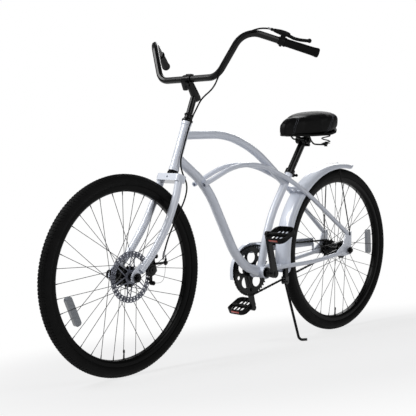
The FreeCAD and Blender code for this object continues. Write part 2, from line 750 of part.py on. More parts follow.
# Crankset: spindle in its bearing, chainring and both arms
CRANK = math.radians(size("crank_angle"))
crank_up = Vector(math.sin(CRANK), 0, math.cos(CRANK))
ARM_HALF = 6.5
SPINDLE = 8.5
arm_y = size("crank_y")
spindle_reach = Vector(0, arm_y + ARM_HALF, 0)
bearing_reach = Vector(0, half_shell + 2, 0)
solid("crank_bearing", rod(SHELL - bearing_reach, SHELL + bearing_reach,
                           size("shell_bore"), SPINDLE + 0.1))
solid("crank_spindle", rod(SHELL - spindle_reach, SHELL + spindle_reach, SPINDLE))
RING_MIDDLE = SHELL + Vector(0, CHAIN_Y, 0)
chainring = toothed(int(size("ring_teeth")), size("tooth_thick"), SPINDLE, RING_MIDDLE,
                    [(5, 49, 21, 18), (5, 69, 7, 54)])
solid("chainring", chainring)


def crank_arm(label, side):
    """Tapered arm from the spindle out to the pedal axle."""
    middle = SHELL + Vector(0, side * arm_y, 0)
    tip = middle + crank_up * (side * size("crank_length"))
    across = Vector(crank_up.z, 0, -crank_up.x)
    half = Vector(0, ARM_HALF, 0)
    arm = rod(middle - half, middle + half, 18).fuse(rod(tip - half, tip + half, 12))
    corners = [middle + across * 15, tip + across * 10.5, tip - across * 10.5,
               middle - across * 15]
    web = Part.makePolygon([point - half for point in corners + corners[:1]])
    arm = arm.fuse(Part.Face(web).extrude(half * 2))
    if side < 0:
        boss_start = RING_MIDDLE - Vector(0, size("tooth_thick") / 2, 0)
        arm = arm.fuse(rod(boss_start, middle, 24))
    arm = arm.cut(rod(SHELL - spindle_reach * 2, SHELL + spindle_reach * 2, SPINDLE))
    solid(label, arm.removeSplitter())
    return tip


pedal_pins = []


def pedal(name, side, tip):
    """Pedal spindle on the crank, and the cage that turns about it."""
    start = tip + Vector(0, side * ARM_HALF, 0)
    near = ARM_HALF + size("pedal_gap")
    reach = near + size("pedal_width")
    end = tip + Vector(0, side * (reach - 4), 0)
    pedal_pins.append(rod(start, end, 5.0))
    half_length = size("pedal_length") / 2
    half_height = size("pedal_height") / 2
    width = size("pedal_width")
    low_y = tip.y + near if side > 0 else tip.y - reach
    corner = Vector(tip.x - half_length, low_y, tip.z - half_height)
    cage = Part.makeBox(2 * half_length, width, 2 * half_height, corner)
    cage = cage.makeFillet(24, [edge for edge in cage.Edges
                                if abs(edge.tangentAt(0).z) > 0.9])
    bar = 8.0
    core = 11.0
    for way in (1, -1):
        window_x = tip.x + core if way > 0 else tip.x - half_length + bar
        window = Part.makeBox(half_length - bar - core, width - 5 * bar, 60,
                              Vector(window_x, low_y + 2.5 * bar, tip.z - 30))
        cage = cage.cut(window)
    bore_start = Vector(tip.x, low_y - 2, tip.z)
    cage = cage.cut(rod(bore_start, bore_start + Vector(0, width + 4, 0), 5.06))
    cage.rotate(tip, Vector(0, 1, 0), size("pedal_pitch"))
    solid("pedal_" + name, cage)


for side, name in ((1, "left"), (-1, "right")):
    pedal(name, side, crank_arm("crank_arm_" + name, side))
solid("pedal_spindles", Part.makeCompound(pedal_pins))

# Chain: plates either side of the teeth, with rollers on its straight runs
PLATE_IN = 2.4
PLATE_OUT = 3.9
PLATE_HALF = 4.2
ROLLER = 3.9
ring_pitch = pitch_radius_of(int(size("ring_teeth")))
gear_pitch = pitch_radius_of(int(size("sprocket_teeth")))
drive = RING_MIDDLE - SPROCKET
drive_slope = math.atan2(drive.z, drive.x)
drive_length = drive.Length
slant = math.asin((ring_pitch - gear_pitch) / drive_length)


def chain_point(middle, radius, angle):
    return middle + Vector(radius * math.cos(angle), 0, radius * math.sin(angle))


def chain_loop(offset):
    """Loop round both toothed wheels, this far outside the pitch line."""
    top = drive_slope + math.pi / 2 + slant
    low = drive_slope - math.pi / 2 - slant
    ring_radius = ring_pitch + offset
    gear_radius = gear_pitch + offset
    a = chain_point(RING_MIDDLE, ring_radius, top)
    b = chain_point(RING_MIDDLE, ring_radius, drive_slope)
    c = chain_point(RING_MIDDLE, ring_radius, low)
    d = chain_point(SPROCKET, gear_radius, low)
    e = chain_point(SPROCKET, gear_radius, drive_slope + math.pi)
    f = chain_point(SPROCKET, gear_radius, top)
    return Part.Wire([
        Part.Arc(a, b, c).toShape(),
        Part.LineSegment(c, d).toShape(),
        Part.Arc(d, e, f).toShape(),
        Part.LineSegment(f, a).toShape(),
    ])


band = Part.Face(chain_loop(PLATE_HALF)).cut(Part.Face(chain_loop(-PLATE_HALF)))
chain_parts = []
for low, high in ((PLATE_IN, PLATE_OUT), (-PLATE_OUT, -PLATE_IN)):
    strip = band.extrude(Vector(0, high - low, 0))
    strip.translate(Vector(0, low, 0))
    chain_parts.append(strip)
for angle, sign in ((drive_slope + math.pi / 2 + slant, 1), (drive_slope - math.pi / 2 - slant, -1)):
    at_ring = chain_point(RING_MIDDLE, ring_pitch, angle)
    at_gear = chain_point(SPROCKET, gear_pitch, angle)
    run = at_gear - at_ring
    links = int(run.Length / size("chain_pitch"))
    for link in range(3, links - 2):
        spot = at_ring + run * (link * size("chain_pitch") / run.Length)
        half = Vector(0, PLATE_IN, 0)
        chain_parts.append(rod(spot - half, spot + half, ROLLER))
solid("chain", chain_parts[0].fuse(chain_parts[1:]))

# Fender over the rear wheel, its stays and its two brackets
fender_edge = size("fender_width") / 2
fender_outer = size("fender_radius")
fender_wall = size("fender_wall")
FENDER_DROP = 12.0


def fender_arc(inset):
    top = fender_outer - inset
    low = fender_outer - FENDER_DROP
    side = fender_edge - inset
    return (Vector(low, -side, 0), Vector(top, 0, 0), Vector(low, side, 0))


outer = fender_arc(0)
inner = fender_arc(fender_wall)
section = Part.Face(Part.Wire([
    Part.Arc(*outer).toShape(),
    Part.LineSegment(outer[2], inner[2]).toShape(),
    Part.Arc(*inner).toShape(),
    Part.LineSegment(inner[0], outer[0]).toShape(),
]))
section.rotate(Vector(0, 0, 0), Vector(0, 1, 0), -size("fender_low"))
fender = section.revolve(Vector(0, 0, 0), Vector(0, 1, 0),
                         -(size("fender_high") - size("fender_low")))
solid("fender", fender, on_y(REAR_AXLE))

fender_bars = []
for side in (1, -1):
    foot = REAR_AXLE + Vector(EYE[0], side * (size("dropout_y") + 2.6), EYE[1])
    edge_y = side * (fender_edge + 3)
    high = REAR_AXLE + Vector(fender_outer * math.cos(math.radians(86)) * 0.97, edge_y,
                              fender_outer * math.sin(math.radians(86)) * 0.97)
    knee = foot + Vector(0, side * 4, 0)
    fender_bars.append(bent([foot, knee, high], 2.5))
solid("fender_stays", Part.makeCompound(fender_bars))

BRIDGE_HIGH = on_frame(296, 645)
BRIDGE_LOW = on_frame(404, 323)
bridges = []
for middle, reach in ((BRIDGE_HIGH, 30), (BRIDGE_LOW, 32)):
    bridge = rod(middle - Vector(0, reach, 0), middle + Vector(0, reach, 0), 6.5)
    toward = REAR_AXLE - middle
    toward.normalize()
    gap = (middle - REAR_AXLE).Length - fender_outer - 0.2
    bridge = bridge.fuse(rod(middle, middle + toward * gap, 5))
    for other, place in pieces:
        if other.Label.startswith(("side_tube", "chain_stay")):
            bridge = bridge.cut(other.Shape)
    bridges.append(max(bridge.Solids, key=lambda part: part.Volume))
solid("frame_bridges", Part.makeCompound(bridges))

# Chain guard: a plate beside the chain with a flange over its top edge
GUARD_OUT = -62.5
GUARD_IN = -61.0
GUARD_LIP = -47.0
GUARD_RADIUS = 116.0
GUARD_HOLLOW = 72.0
GUARD_SHEET = 1.5


def guard_outline(inset):
    """Ring over the chainring's front and top, with a band running back."""
    radius = GUARD_RADIUS - inset
    front = math.radians(-14)
    rear = math.radians(96)
    start = chain_point(SHELL, radius, front)
    top = chain_point(SHELL, radius, rear)
    inner_top = chain_point(SHELL, GUARD_HOLLOW + inset, rear)
    inner_start = chain_point(SHELL, GUARD_HOLLOW + inset, front)
    rear_top = REAR_AXLE + Vector(92, 0, 53 - inset)
    rear_end = REAR_AXLE + Vector(84 + inset, 0, 35)
    rear_low = REAR_AXLE + Vector(92, 0, 17 + inset)
    return [
        Part.Arc(start, chain_point(SHELL, radius, (front + rear) / 2), top).toShape(),
        Part.LineSegment(top, rear_top).toShape(),
        Part.Arc(rear_top, rear_end, rear_low).toShape(),
        Part.LineSegment(rear_low, inner_top).toShape(),
        Part.Arc(inner_top, chain_point(SHELL, GUARD_HOLLOW + inset, (front + rear) / 2),
                 inner_start).toShape(),
        Part.LineSegment(inner_start, start).toShape(),
    ]


def sheet_block(edges, low, high):
    face = Part.Face(Part.Wire(edges))
    face.translate(Vector(0, low, 0))
    return face.extrude(Vector(0, high - low, 0))


guard = sheet_block(guard_outline(0), GUARD_OUT, GUARD_LIP)
guard = guard.cut(sheet_block(guard_outline(GUARD_SHEET), GUARD_IN, GUARD_LIP + 5))
open_side = Part.makeBox(SHELL.x - 93, 20, 71, Vector(70, GUARD_IN, R_TYRE - 22))
inner_disc = rod(SHELL + Vector(0, GUARD_IN, 0), SHELL + Vector(0, GUARD_LIP + 5, 0),
                 GUARD_RADIUS - 10)
guard = guard.cut(open_side).cut(inner_disc)
strut = Part.makeBox(12, 3, 44, Vector(84, GUARD_IN, R_TYRE - 16))
tab_at = SHELL + Vector(-29, 0, 110)
tab = rod(tab_at + Vector(0, GUARD_LIP - 2, 0), tab_at - Vector(0, 8, 0), 4)
for other, place in pieces:
    if other.Label in ("chain_stay_right", "seat_tube"):
        strut = strut.cut(other.Shape)
tab = tab.cut(seat_bar)
guard = guard.fuse(strut).fuse(tab)
solid("chain_guard", max(guard.Solids, key=lambda part: part.Volume))

# Seat post, its clamp, and the saddle
SEAT_TOP = seat_points[0]
seat_up = SEAT_TOP - seat_points[1]
seat_up.normalize()
POST_OUT = 152.0
post_top = SEAT_TOP + seat_up * POST_OUT
solid("seat_post", rod(SEAT_TOP - seat_up * 110, post_top, size("post_radius")))
collar = rod(SEAT_TOP - seat_up * 16, SEAT_TOP, 20.5, size("seat_radius"))
lip = rod(SEAT_TOP, SEAT_TOP + seat_up * 3, 20.5, size("post_radius"))
bolt_at = SEAT_TOP - seat_up * 8 + Vector(-24, 0, -13)
collar_bolt = rod(bolt_at - Vector(0, 17, 0), bolt_at + Vector(0, 17, 0), 4.5)
collar_ear = Part.makeBox(18, 14, 14, Vector(-9, -7, -7))
collar_ear.Placement = Placement(bolt_at + Vector(5, 0, 3), Rotation(Vector(0, 0, 1), seat_up))
collar_seat = rod(SEAT_TOP - seat_up * 30, SEAT_TOP + seat_up * 10, size("seat_radius"))
solid("seat_clamp", collar.fuse(lip).fuse(
    collar_bolt.fuse(collar_ear).cut(collar_seat)).removeSplitter())

SADDLE_PITCH = 7.0
SADDLE_AT = post_top + Vector(12.3, 0, 58)
COVER_THICK = 60.0
saddle_place = Placement(SADDLE_AT, Rotation(Vector(0, 1, 0), SADDLE_PITCH))


def saddle_outline(inset):
    """Plan of the saddle: nose, hollow flanks, wide rounded seat."""
    half = size("saddle_width") / 2 - inset
    long = size("saddle_length")
    nose = long / 2 + 2 - inset
    tail = nose - long + 2 * inset
    left = [Vector(nose - 16, 24 - inset, 0), Vector(0.13 * long, 46 - inset, 0),
            Vector(-0.09 * long, half - 26, 0), Vector(-0.306 * long, half, 0),
            Vector(tail + 12, half - 38, 0)]
    right = [Vector(p.x, -p.y, 0) for p in left]
    return Part.Wire([
        Part.Arc(right[0], Vector(nose, 0, 0), left[0]).toShape(),
        Part.Arc(left[0], left[1], left[2]).toShape(),
        Part.Arc(left[2], left[3], left[4]).toShape(),
        Part.Arc(left[4], Vector(tail, 0, 0), right[4]).toShape(),
        Part.Arc(right[4], right[3], right[2]).toShape(),
        Part.Arc(right[2], right[1], right[0]).toShape(),
    ])


cover = Part.Face(saddle_outline(0)).extrude(Vector(0, 0, COVER_THICK))
cover = cover.makeFillet(14, [edge for edge in cover.Edges
                              if edge.BoundBox.ZMin > COVER_THICK - 1])
solid("saddle_cover", cover, saddle_place)
pan = Part.Face(saddle_outline(9)).extrude(Vector(0, 0, 7.7))
solid("saddle_pan", pan, saddle_place.multiply(Placement(Vector(0, 0, -8), Rotation())))

RAIL_Y = 22.0
rail_mid = post_top.z + 12
rails = []
for side in (1, -1):
    rails.append(bent([
        Vector(post_top.x + 112, side * 9, rail_mid + 21.8),
        Vector(post_top.x + 77, side * RAIL_Y, rail_mid + 2),
        Vector(post_top.x - 33, side * RAIL_Y, rail_mid),
        Vector(post_top.x - 88, side * 34, rail_mid + 2),
        Vector(post_top.x - 92, side * 62, rail_mid + 2),
    ], 3.5))
solid("saddle_rails", Part.makeCompound(rails))
clamp_at = Vector(post_top.x, 0, rail_mid)
saddle_clamp = rod(clamp_at - Vector(0, 30, 0), clamp_at + Vector(0, 30, 0), 12)
saddle_clamp = saddle_clamp.fuse(rod(post_top - seat_up * 14, post_top + seat_up * 6, 17,
                                     size("post_radius")))
for bar in rails:
    saddle_clamp = saddle_clamp.cut(bar)
saddle_clamp = saddle_clamp.cut(rod(post_top - seat_up * 30, post_top, size("post_radius")))
solid("saddle_clamp", max(saddle_clamp.Solids, key=lambda part: part.Volume))
SPRING_RADIUS = 15.0
SPRING_WIRE = 2.6
SPRING_TURNS = 3
SEAT_THICK = 2.5
springs = []
for side in (1, -1):
    low = Vector(post_top.x - 91, side * 62, rail_mid + 5.8)
    high = Vector(low.x, low.y, SADDLE_AT.z + 6)
    coil_low = low + Vector(0, 0, SEAT_THICK + SPRING_WIRE - 1)
    coil_height = high.z - 5 - coil_low.z
    quarters = [coil_low + Vector(SPRING_RADIUS * math.cos(math.pi / 2 * number),
                                  SPRING_RADIUS * math.sin(math.pi / 2 * number),
                                  coil_height * number / (4 * SPRING_TURNS))
                for number in range(4 * SPRING_TURNS + 1)]
    half_turns = [Part.Arc(*quarters[number:number + 3]).toShape()
                  for number in range(0, 4 * SPRING_TURNS, 2)]
    coil = pipe(Part.Wire(half_turns), SPRING_WIRE)
    seat = rod(low, low + Vector(0, 0, SEAT_THICK), SPRING_RADIUS + SPRING_WIRE)
    cap = rod(high - Vector(0, 0, 9), high, SPRING_RADIUS + SPRING_WIRE)
    springs.append(coil.fuse([seat, cap]))
pan_space = Part.makeBox(300, 240, 80, Vector(-150, -120, -8.1))
pan_space.Placement = saddle_place
solid("saddle_springs", Part.makeCompound([bar.cut(pan_space) for bar in springs]))

# Side stand: a bracket below the left chain stay, and the bent leg on its pivot
PIVOT = SHELL + Vector(-size("stand_back"), size("stand_y"), -size("stand_drop"))
stand_turn = math.radians(size("stand_turn"))
PIVOT_AXIS = Vector(-math.sin(stand_turn), math.cos(stand_turn), 0)
HEAD_HALF = 7.0
EAR = 4.0
PIN = 4.0
STAND_BEND = (5.0, 115.0)
STAND_TOE = (-5.0, 147.0)


def floor_height(y):
    """Height over the upright bicycle's ground where the leaned floor passes."""
    return y * math.tan(LEAN) - SECTION * (1 - math.cos(LEAN)) / math.cos(LEAN)


def on_floor(x, y):
    return Vector(x, y, floor_height(y) + size("stand_radius") / math.cos(LEAN))


leg_points = [PIVOT] + [on_floor(PIVOT.x + ahead, y) for ahead, y in (STAND_BEND, STAND_TOE)]
leg = bent(leg_points, size("stand_radius"))
head_start = PIVOT - PIVOT_AXIS * HEAD_HALF
head_end = PIVOT + PIVOT_AXIS * HEAD_HALF
stand_leg = leg.fuse(rod(head_start, head_end, 10.5))
side_room = rod(head_end, head_end + PIVOT_AXIS * 30, 13)
side_room = side_room.fuse(rod(head_start, head_start - PIVOT_AXIS * 30, 13))
stand_leg = stand_leg.cut(side_room)
pin_bore = rod(PIVOT - PIVOT_AXIS * 30, PIVOT + PIVOT_AXIS * 30, PIN + 0.06)
stand_leg = stand_leg.cut(pin_bore)
solid("side_stand", max(stand_leg.Solids, key=lambda part: part.Volume))

bracket_place = Placement(PIVOT, Rotation(Vector(0, 0, 1), size("stand_turn")))
ear_gap = HEAD_HALF + 0.3
bracket = Part.makeBox(24, 2 * (ear_gap + EAR), 6, Vector(-12, -ear_gap - EAR, 15))
for side in (1, -1):
    low = ear_gap if side > 0 else -ear_gap - EAR
    bracket = bracket.fuse(Part.makeBox(24, EAR, 16, Vector(-12, low, 0)))
    bracket = bracket.fuse(Part.makeCylinder(12, EAR, Vector(0, low, 0), Vector(0, 1, 0)))
pin_reach = ear_gap + EAR + 3
bracket = bracket.fuse(Part.makeCylinder(PIN, 2 * pin_reach, Vector(0, -pin_reach, 0),
                                         Vector(0, 1, 0)))
bracket.Placement = bracket_place
post = Part.makeBox(18, 16, 50, Vector(PIVOT.x - 6, PIVOT.y - 4, PIVOT.z + 19))
bracket = bracket.fuse(post)
for other, place in pieces:
    if other.Label in ("chain_stay_left", "frame_bridges"):
        bracket = bracket.cut(other.Shape)
stay_full = bent([on_frame(x, z, y) for x, y, z in STAY_ROUTE], size("stay_radius") + 0.01)
bracket = bracket.cut(stay_full).removeSplitter()
solid("stand_bracket", min((part for part in bracket.Solids if part.Volume > 3000),
                           key=lambda part: part.BoundBox.ZMin))

# Coaster brake's arm, left of the rear hub and held to the chain stay
ARM_Y = 44.0
cone = rod(Vector(0, ARM_Y + 2.5, R_TYRE), Vector(0, 56.4, R_TYRE), 14)
disc = rod(Vector(0, ARM_Y - 2.5, R_TYRE), Vector(0, ARM_Y + 2.5, R_TYRE), 25)
arm_end = Vector(138, ARM_Y, R_TYRE - 21)
arm_line = arm_end - Vector(0, ARM_Y, R_TYRE)
arm_line.normalize()
arm_across = Vector(arm_line.z, 0, -arm_line.x)
half_thick = Vector(0, 2.5, 0)
hub_point = Vector(0, ARM_Y, R_TYRE)
corners = [hub_point + arm_across * 15, arm_end + arm_across * 7.5,
           arm_end - arm_across * 7.5, hub_point - arm_across * 15]
strap = Part.Face(Part.makePolygon([p - half_thick for p in corners + corners[:1]]))
brake_arm = disc.fuse(cone).fuse(strap.extrude(half_thick * 2))
brake_arm = brake_arm.fuse(rod(arm_end - half_thick, arm_end + half_thick, 7.5))
brake_arm = brake_arm.fuse(rod(arm_end, arm_end + Vector(0, 16, 0), 4))
for other, place in pieces:
    if other.Label == "chain_stay_left":
        brake_arm = brake_arm.cut(other.Shape)
left_stay = [on_frame(x, z, y) for x, y, z in STAY_ROUTE]
left_stay.append(REAR_AXLE + Vector(STAY_END[0], size("dropout_y"), STAY_END[1]))
brake_arm = brake_arm.cut(bent(left_stay, size("stay_radius")))
brake_arm = brake_arm.cut(rod(Vector(0, 0, R_TYRE), Vector(0, 90, R_TYRE), size("axle_radius")))
solid("brake_arm", max(brake_arm.Solids, key=lambda part: part.Volume).removeSplitter())

# Brake lever on the left of the bar, and the cable from it down to the caliper
LEVER_BACK = 18.0
lever_seat = BAR_END - sweep * (size("grip_length") + LEVER_BACK)
lever_out = Vector(-sweep.y, sweep.x, 0) * -1
lever_out.normalize()
ring = rod(lever_seat - sweep * 8, lever_seat + sweep * 8, 16.5, size("bar_radius"))
arm = rod(lever_seat + lever_out * 14, lever_seat + lever_out * 26, 7)
barrel_at = lever_seat + lever_out * 23
cable_start = barrel_at - sweep * 20
barrel = rod(barrel_at + sweep * 6, cable_start, 4.5)
lever_blade = bent([
    barrel_at + sweep * 2,
    lever_seat + lever_out * 40 + sweep * 32,
    lever_seat + lever_out * 46 + sweep * 80,
    lever_seat + lever_out * 40 + sweep * 132,
], 4.5)
lever = ring.fuse(arm).fuse(barrel).fuse(lever_blade)
solid("brake_lever", max(lever.Solids, key=lambda part: part.Volume))

CABLE_RADIUS = 2.5
CABLE_ROUTE = [
    (838, 309, 1224),
    (880, 274, 1243),
    (904, 240, 1218),
    (922, 203, 1158),
    (936, 172, 1104),
    (941, 132, 1075),
    (938, 92, 1040),
    (937, 58, 990),
    (937, 36, 940),
    (952, 29.5, 886),
    (973, 29.5, 828),
    (997, 30, 765),
    (993, 38, 722),
    (976, 50, 678),
    (996, 55, 622),
    (1042, 59, 562),
    (1075, 58, 505),
    (1096, 54, 450),
]
cable_end = on_fork(1102, 412, 50)
cable_points = [cable_start] + [on_fork(x, z, y) for x, y, z in CABLE_ROUTE] + [cable_end]
solid("brake_cable", bent(cable_points, CABLE_RADIUS))

# Reflectors clipped between the spokes
for name, middle, angle, radius in (("front", FRONT_AXLE, -24, 246),
                                    ("rear", REAR_AXLE, 176, 250)):
    strip = Part.makeBox(26, 15, 112, Vector(-13, -7.5, -56))
    strip = strip.makeFillet(10, [edge for edge in strip.Edges
                                  if abs(edge.tangentAt(0).y) > 0.9])
    turn = Placement(Vector(0, 0, 0), Rotation(Vector(0, 1, 0), -angle))
    strip.Placement = Placement(middle, Rotation()).multiply(turn).multiply(
        Placement(Vector(radius, 0, 0), Rotation()))
    for other, place in pieces:
        if other.Label == name + "_spokes":
            strip = strip.cut(other.Shape)
    solid(name + "_reflector", max(strip.Solids, key=lambda part: part.Volume))

# Lean every piece on to the stand and centre the whole on its box
doc.recompute()
for item in doc.Objects:
    if "Invalid" in item.State or "Error" in item.State:
        raise RuntimeError("failed object: " + item.Label)
lift = SECTION * (1 - math.cos(LEAN))
tilt = Rotation(Vector(1, 0, 0), -size("lean_angle"))
leaned = Placement(Vector(0, 0, lift), tilt)
for thing, place in pieces:
    thing.Placement = leaned.multiply(place)
doc.recompute()
whole = FreeCAD.BoundBox()
for thing, place in pieces:
    whole.add(thing.Shape.optimalBoundingBox(False, False))
middle_y = (whole.YMin + whole.YMax) / 2
parked = Placement(Vector(-size("axle_gap") / 2, -middle_y, lift), tilt)
for thing, place in pieces:
    thing.Placement = parked.multiply(place)
doc.recompute()

for thing, place in pieces:
    if thing.Shape.isNull() or not thing.Shape.isValid():
        raise RuntimeError("bad shape: " + thing.Label)
os.makedirs("parts", exist_ok=True)
for thing, place in pieces:
    thing.Shape.exportStep(f"parts/{thing.Label}.step")
print("pieces", len(pieces))
print("middle_y", round(middle_y, 3), "box", whole)
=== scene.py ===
# %% [markdown]
# A beach cruiser bicycle stands on its side stand. Its solids come from a CAD model that is
# already measured and packed, so the first step loads that model as a fixed frame, and every
# later step dresses it: better finishes on the solids whose shape is right, and finer pieces
# in place of those that are plain, such as the tyres, the saddle and the chain.

# %% Load the frame
import json
import math

import bmesh
import bpy
from mathutils import Matrix, Vector
from mathutils.bvhtree import BVHTree


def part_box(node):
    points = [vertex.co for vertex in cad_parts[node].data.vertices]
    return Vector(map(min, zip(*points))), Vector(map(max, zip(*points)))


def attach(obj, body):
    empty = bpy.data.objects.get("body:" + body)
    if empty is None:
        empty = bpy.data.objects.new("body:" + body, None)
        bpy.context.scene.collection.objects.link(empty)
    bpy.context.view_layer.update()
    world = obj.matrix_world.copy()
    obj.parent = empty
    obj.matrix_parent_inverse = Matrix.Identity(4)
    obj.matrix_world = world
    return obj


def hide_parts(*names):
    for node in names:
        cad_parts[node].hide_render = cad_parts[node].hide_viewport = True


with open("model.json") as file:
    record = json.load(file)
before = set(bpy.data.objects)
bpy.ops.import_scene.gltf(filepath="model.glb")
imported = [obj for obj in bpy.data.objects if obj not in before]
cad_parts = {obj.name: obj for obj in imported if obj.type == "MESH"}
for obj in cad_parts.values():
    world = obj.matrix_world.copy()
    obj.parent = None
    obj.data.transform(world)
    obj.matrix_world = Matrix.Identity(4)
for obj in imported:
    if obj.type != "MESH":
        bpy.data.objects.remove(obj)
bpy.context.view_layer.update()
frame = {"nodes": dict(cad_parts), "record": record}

# %% [markdown]
# The bicycle leans to its left by nine degrees, but nobody thinks of a bicycle that way. It is
# far easier to give every place on the upright machine, in millimetres, with +X forward, +Y to
# the rider's left and the ground under the rear axle at zero, and then to lean each finished
# mesh in one go. The rear axle's own box tells where the CAD model put that axle.

# %% Places on the upright bicycle
LEAN = math.radians(9)
TYRE_RADIUS = 362
AXLE_GAP = 1246
CRANK_X = 513
CRANK_Z = 307
axle_low, axle_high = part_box("rear_axle")
tilt = Matrix.Rotation(-LEAN, 4, "X")
park = Matrix.Translation((axle_low + axle_high) / 2) @ tilt @ Matrix.Translation(
    (0, 0, -TYRE_RADIUS / 1000))


def spot(x, y, z):
    """A place on the upright bicycle, from millimetres to metres."""
    return Vector((x, y, z)) / 1000


def shift(x, y, z):
    """The matrix that moves a shape by so many millimetres."""
    return Matrix.Translation(spot(x, y, z))


REAR_AXLE = spot(0, 0, TYRE_RADIUS)
FRONT_AXLE = spot(AXLE_GAP, 0, TYRE_RADIUS)
CRANK_AXIS = spot(CRANK_X, 0, CRANK_Z)
print("front axle stands at", [round(value, 4) for value in park @ FRONT_AXLE])

# %% [markdown]
# The camera comes before any shape, so that each piece can be compared with the photograph as
# soon as it is made. Its place was worked out from the two wheels, whose round rims show as
# ellipses. A long lens from in front and to the left gives the view. On the upright bicycle it
# would be a little below saddle height. It leans with the bicycle, so that the bicycle looks
# upright to it, and that brings it down to 41 centimetres above the floor.

# %% Camera
LENS = 80.1


def placed(name, data):
    """An object with this data, linked into the scene."""
    thing = bpy.data.objects.new(name, data)
    bpy.context.scene.collection.objects.link(thing)
    return thing


camera = placed("camera", bpy.data.cameras.new("camera"))
bpy.context.scene.camera = camera
camera.data.lens = LENS
camera.data.sensor_width = 36
eye = Vector((3.3574, 2.5048, 0.8124))
target = Vector((0.8189, 0, 0.5838))
aim = (target - eye).to_track_quat("-Z", "Y").to_matrix().to_4x4()
camera.matrix_world = park @ Matrix.Translation(eye) @ aim
print("camera at", [round(value, 3) for value in camera.matrix_world.translation])

# %% [markdown]
# Shader maths is easier to read as Python than as wired boxes. A Wire wraps one output socket
# and turns plain + * and ** into Math nodes. The reflected forms are there as well, so that
# 0.2 + 0.1 * dust works although the sum begins with a number.

# %% Shader maths
class Wire:
    """An output socket on which maths can be written."""

    def __init__(self, finish, socket):
        self.finish = finish
        self.socket = socket

    def maths(self, operation, *values):
        inputs = dict(enumerate(values))
        return self.finish.add("ShaderNodeMath", {"operation": operation}, inputs)

    def __add__(self, other):
        return self.maths("ADD", self, other)

    def __mul__(self, other):
        return self.maths("MULTIPLY", self, other)

    def __pow__(self, other):
        return self.maths("POWER", self, other)

    __radd__ = __add__
    __rmul__ = __mul__

    def part(self, name):
        """One output beside this one on the same node, such as X."""
        return Wire(self.finish, self.socket.node.outputs[name])


print("a wire can do", [name for name in dir(Wire) if name.strip("_") == name])

# %% [markdown]
# A Finish holds one material. Its add method makes any node from its type, its settings and
# the values or links of its sockets, and a few short methods name the steps that nearly every
# finish takes: a noise, a mix of two colours, a bump and the shader itself.

# %% Materials, node by node
class Finish:
    """A material, made node by node."""

    def __init__(self, name):
        self.material = bpy.data.materials.new(name)
        self.material.use_nodes = True
        self.nodes = self.material.node_tree.nodes
        self.links = self.material.node_tree.links
        self.nodes.clear()

    def add(self, kind, settings, inputs, output=0):
        """A node with its options set and its sockets filled or linked."""
        node = self.nodes.new(kind)
        for name, value in settings.items():
            setattr(node, name, value)
        for name, value in inputs.items():
            if isinstance(value, Wire):
                self.links.new(value.socket, node.inputs[name])
            else:
                node.inputs[name].default_value = value
        return Wire(self, node.outputs[output]) if node.outputs else None

    def place(self):
        return self.add("ShaderNodeTexCoord", {}, {}, "Object")

    def noise(self, scale, detail):
        return self.add("ShaderNodeTexNoise", {}, {
            "Vector": self.place(), "Scale": scale, "Detail": detail})

    def mix(self, share, first, second):
        return self.add("ShaderNodeMix", {"data_type": "RGBA"},
                        {0: share, 6: first, 7: second}, 2)

    def bump(self, height, strength, distance):
        return self.add("ShaderNodeBump", {}, {
            "Height": height, "Strength": strength, "Distance": distance})

    def surface(self, **inputs):
        """The shader itself, whose sockets are named with underlines for blanks."""
        named = {name.replace("_", " "): value for name, value in inputs.items()}
        shader = self.add("ShaderNodeBsdfPrincipled", {}, named)
        self.add("ShaderNodeOutputMaterial", {}, {"Surface": shader})
        return self.material


def turned_about(finish, centre):
    """Object coordinates as seen from an axle: upright, with the axle at zero."""
    return finish.add("ShaderNodeMapping", {"vector_type": "TEXTURE"}, {
        "Vector": finish.place(), "Location": park @ centre, "Rotation": (-LEAN, 0, 0)})


print("a finish can do", [name for name in dir(Finish) if name[0] != "_"])

# %% [markdown]
# The frame, fork, fender and chain guard share one gloss paint: white with a touch of blue.
# Real paint over steel is smooth but never a mirror. The pigment varies very slightly over a
# tube, the surface has the faint orange peel of a sprayed coat, and a clear coat gives the
# tight highlight on top of the soft one.

# %% Frame paint
def colour(red, green, blue):
    """A colour as a screen shows it, turned into the linear light a shader wants."""
    return [((c + 0.055) / 1.055) ** 2.4 if c > 0.04 else c / 12.92
            for c in (red, green, blue)] + [1]


def frame_paint():
    finish = Finish("frame_paint")
    cloud = finish.noise(9, 2)
    dust = finish.noise(160, 4)
    peel = finish.noise(620, 1)
    tint = finish.mix(cloud, colour(0.845, 0.868, 0.915), colour(0.875, 0.893, 0.932))
    return finish.surface(
        Base_Color=tint,
        Roughness=0.24 + 0.1 * dust,
        Normal=finish.bump(peel, 0.05, 0.0004),
        Coat_Weight=0.7,
        Coat_Roughness=0.06)


def black_metal():
    finish = Finish("black_metal")
    dust = finish.noise(130, 5)
    peel = finish.noise(700, 1)
    tint = finish.mix(dust, colour(0.004, 0.004, 0.006), colour(0.011, 0.012, 0.016))
    return finish.surface(
        Base_Color=tint,
        Roughness=0.2 + 0.14 * dust,
        Normal=finish.bump(peel, 0.04, 0.0004),
        Specular_IOR_Level=0.2,
        Coat_Weight=0.06,
        Coat_Roughness=0.08)


SLOTS = {"frame_paint": frame_paint(), "black_metal": black_metal()}
print("paints", list(SLOTS))

# %% [markdown]
# Rubber, moulded plastic and vinyl are all black here, yet they look different because of
# how rough they are and what their surface does: rubber is dusty and dull, plastic has an
# eroded mould texture, and vinyl carries a pressed leather grain. Each gets its own mix of
# noise for the colour and cells for the bump.

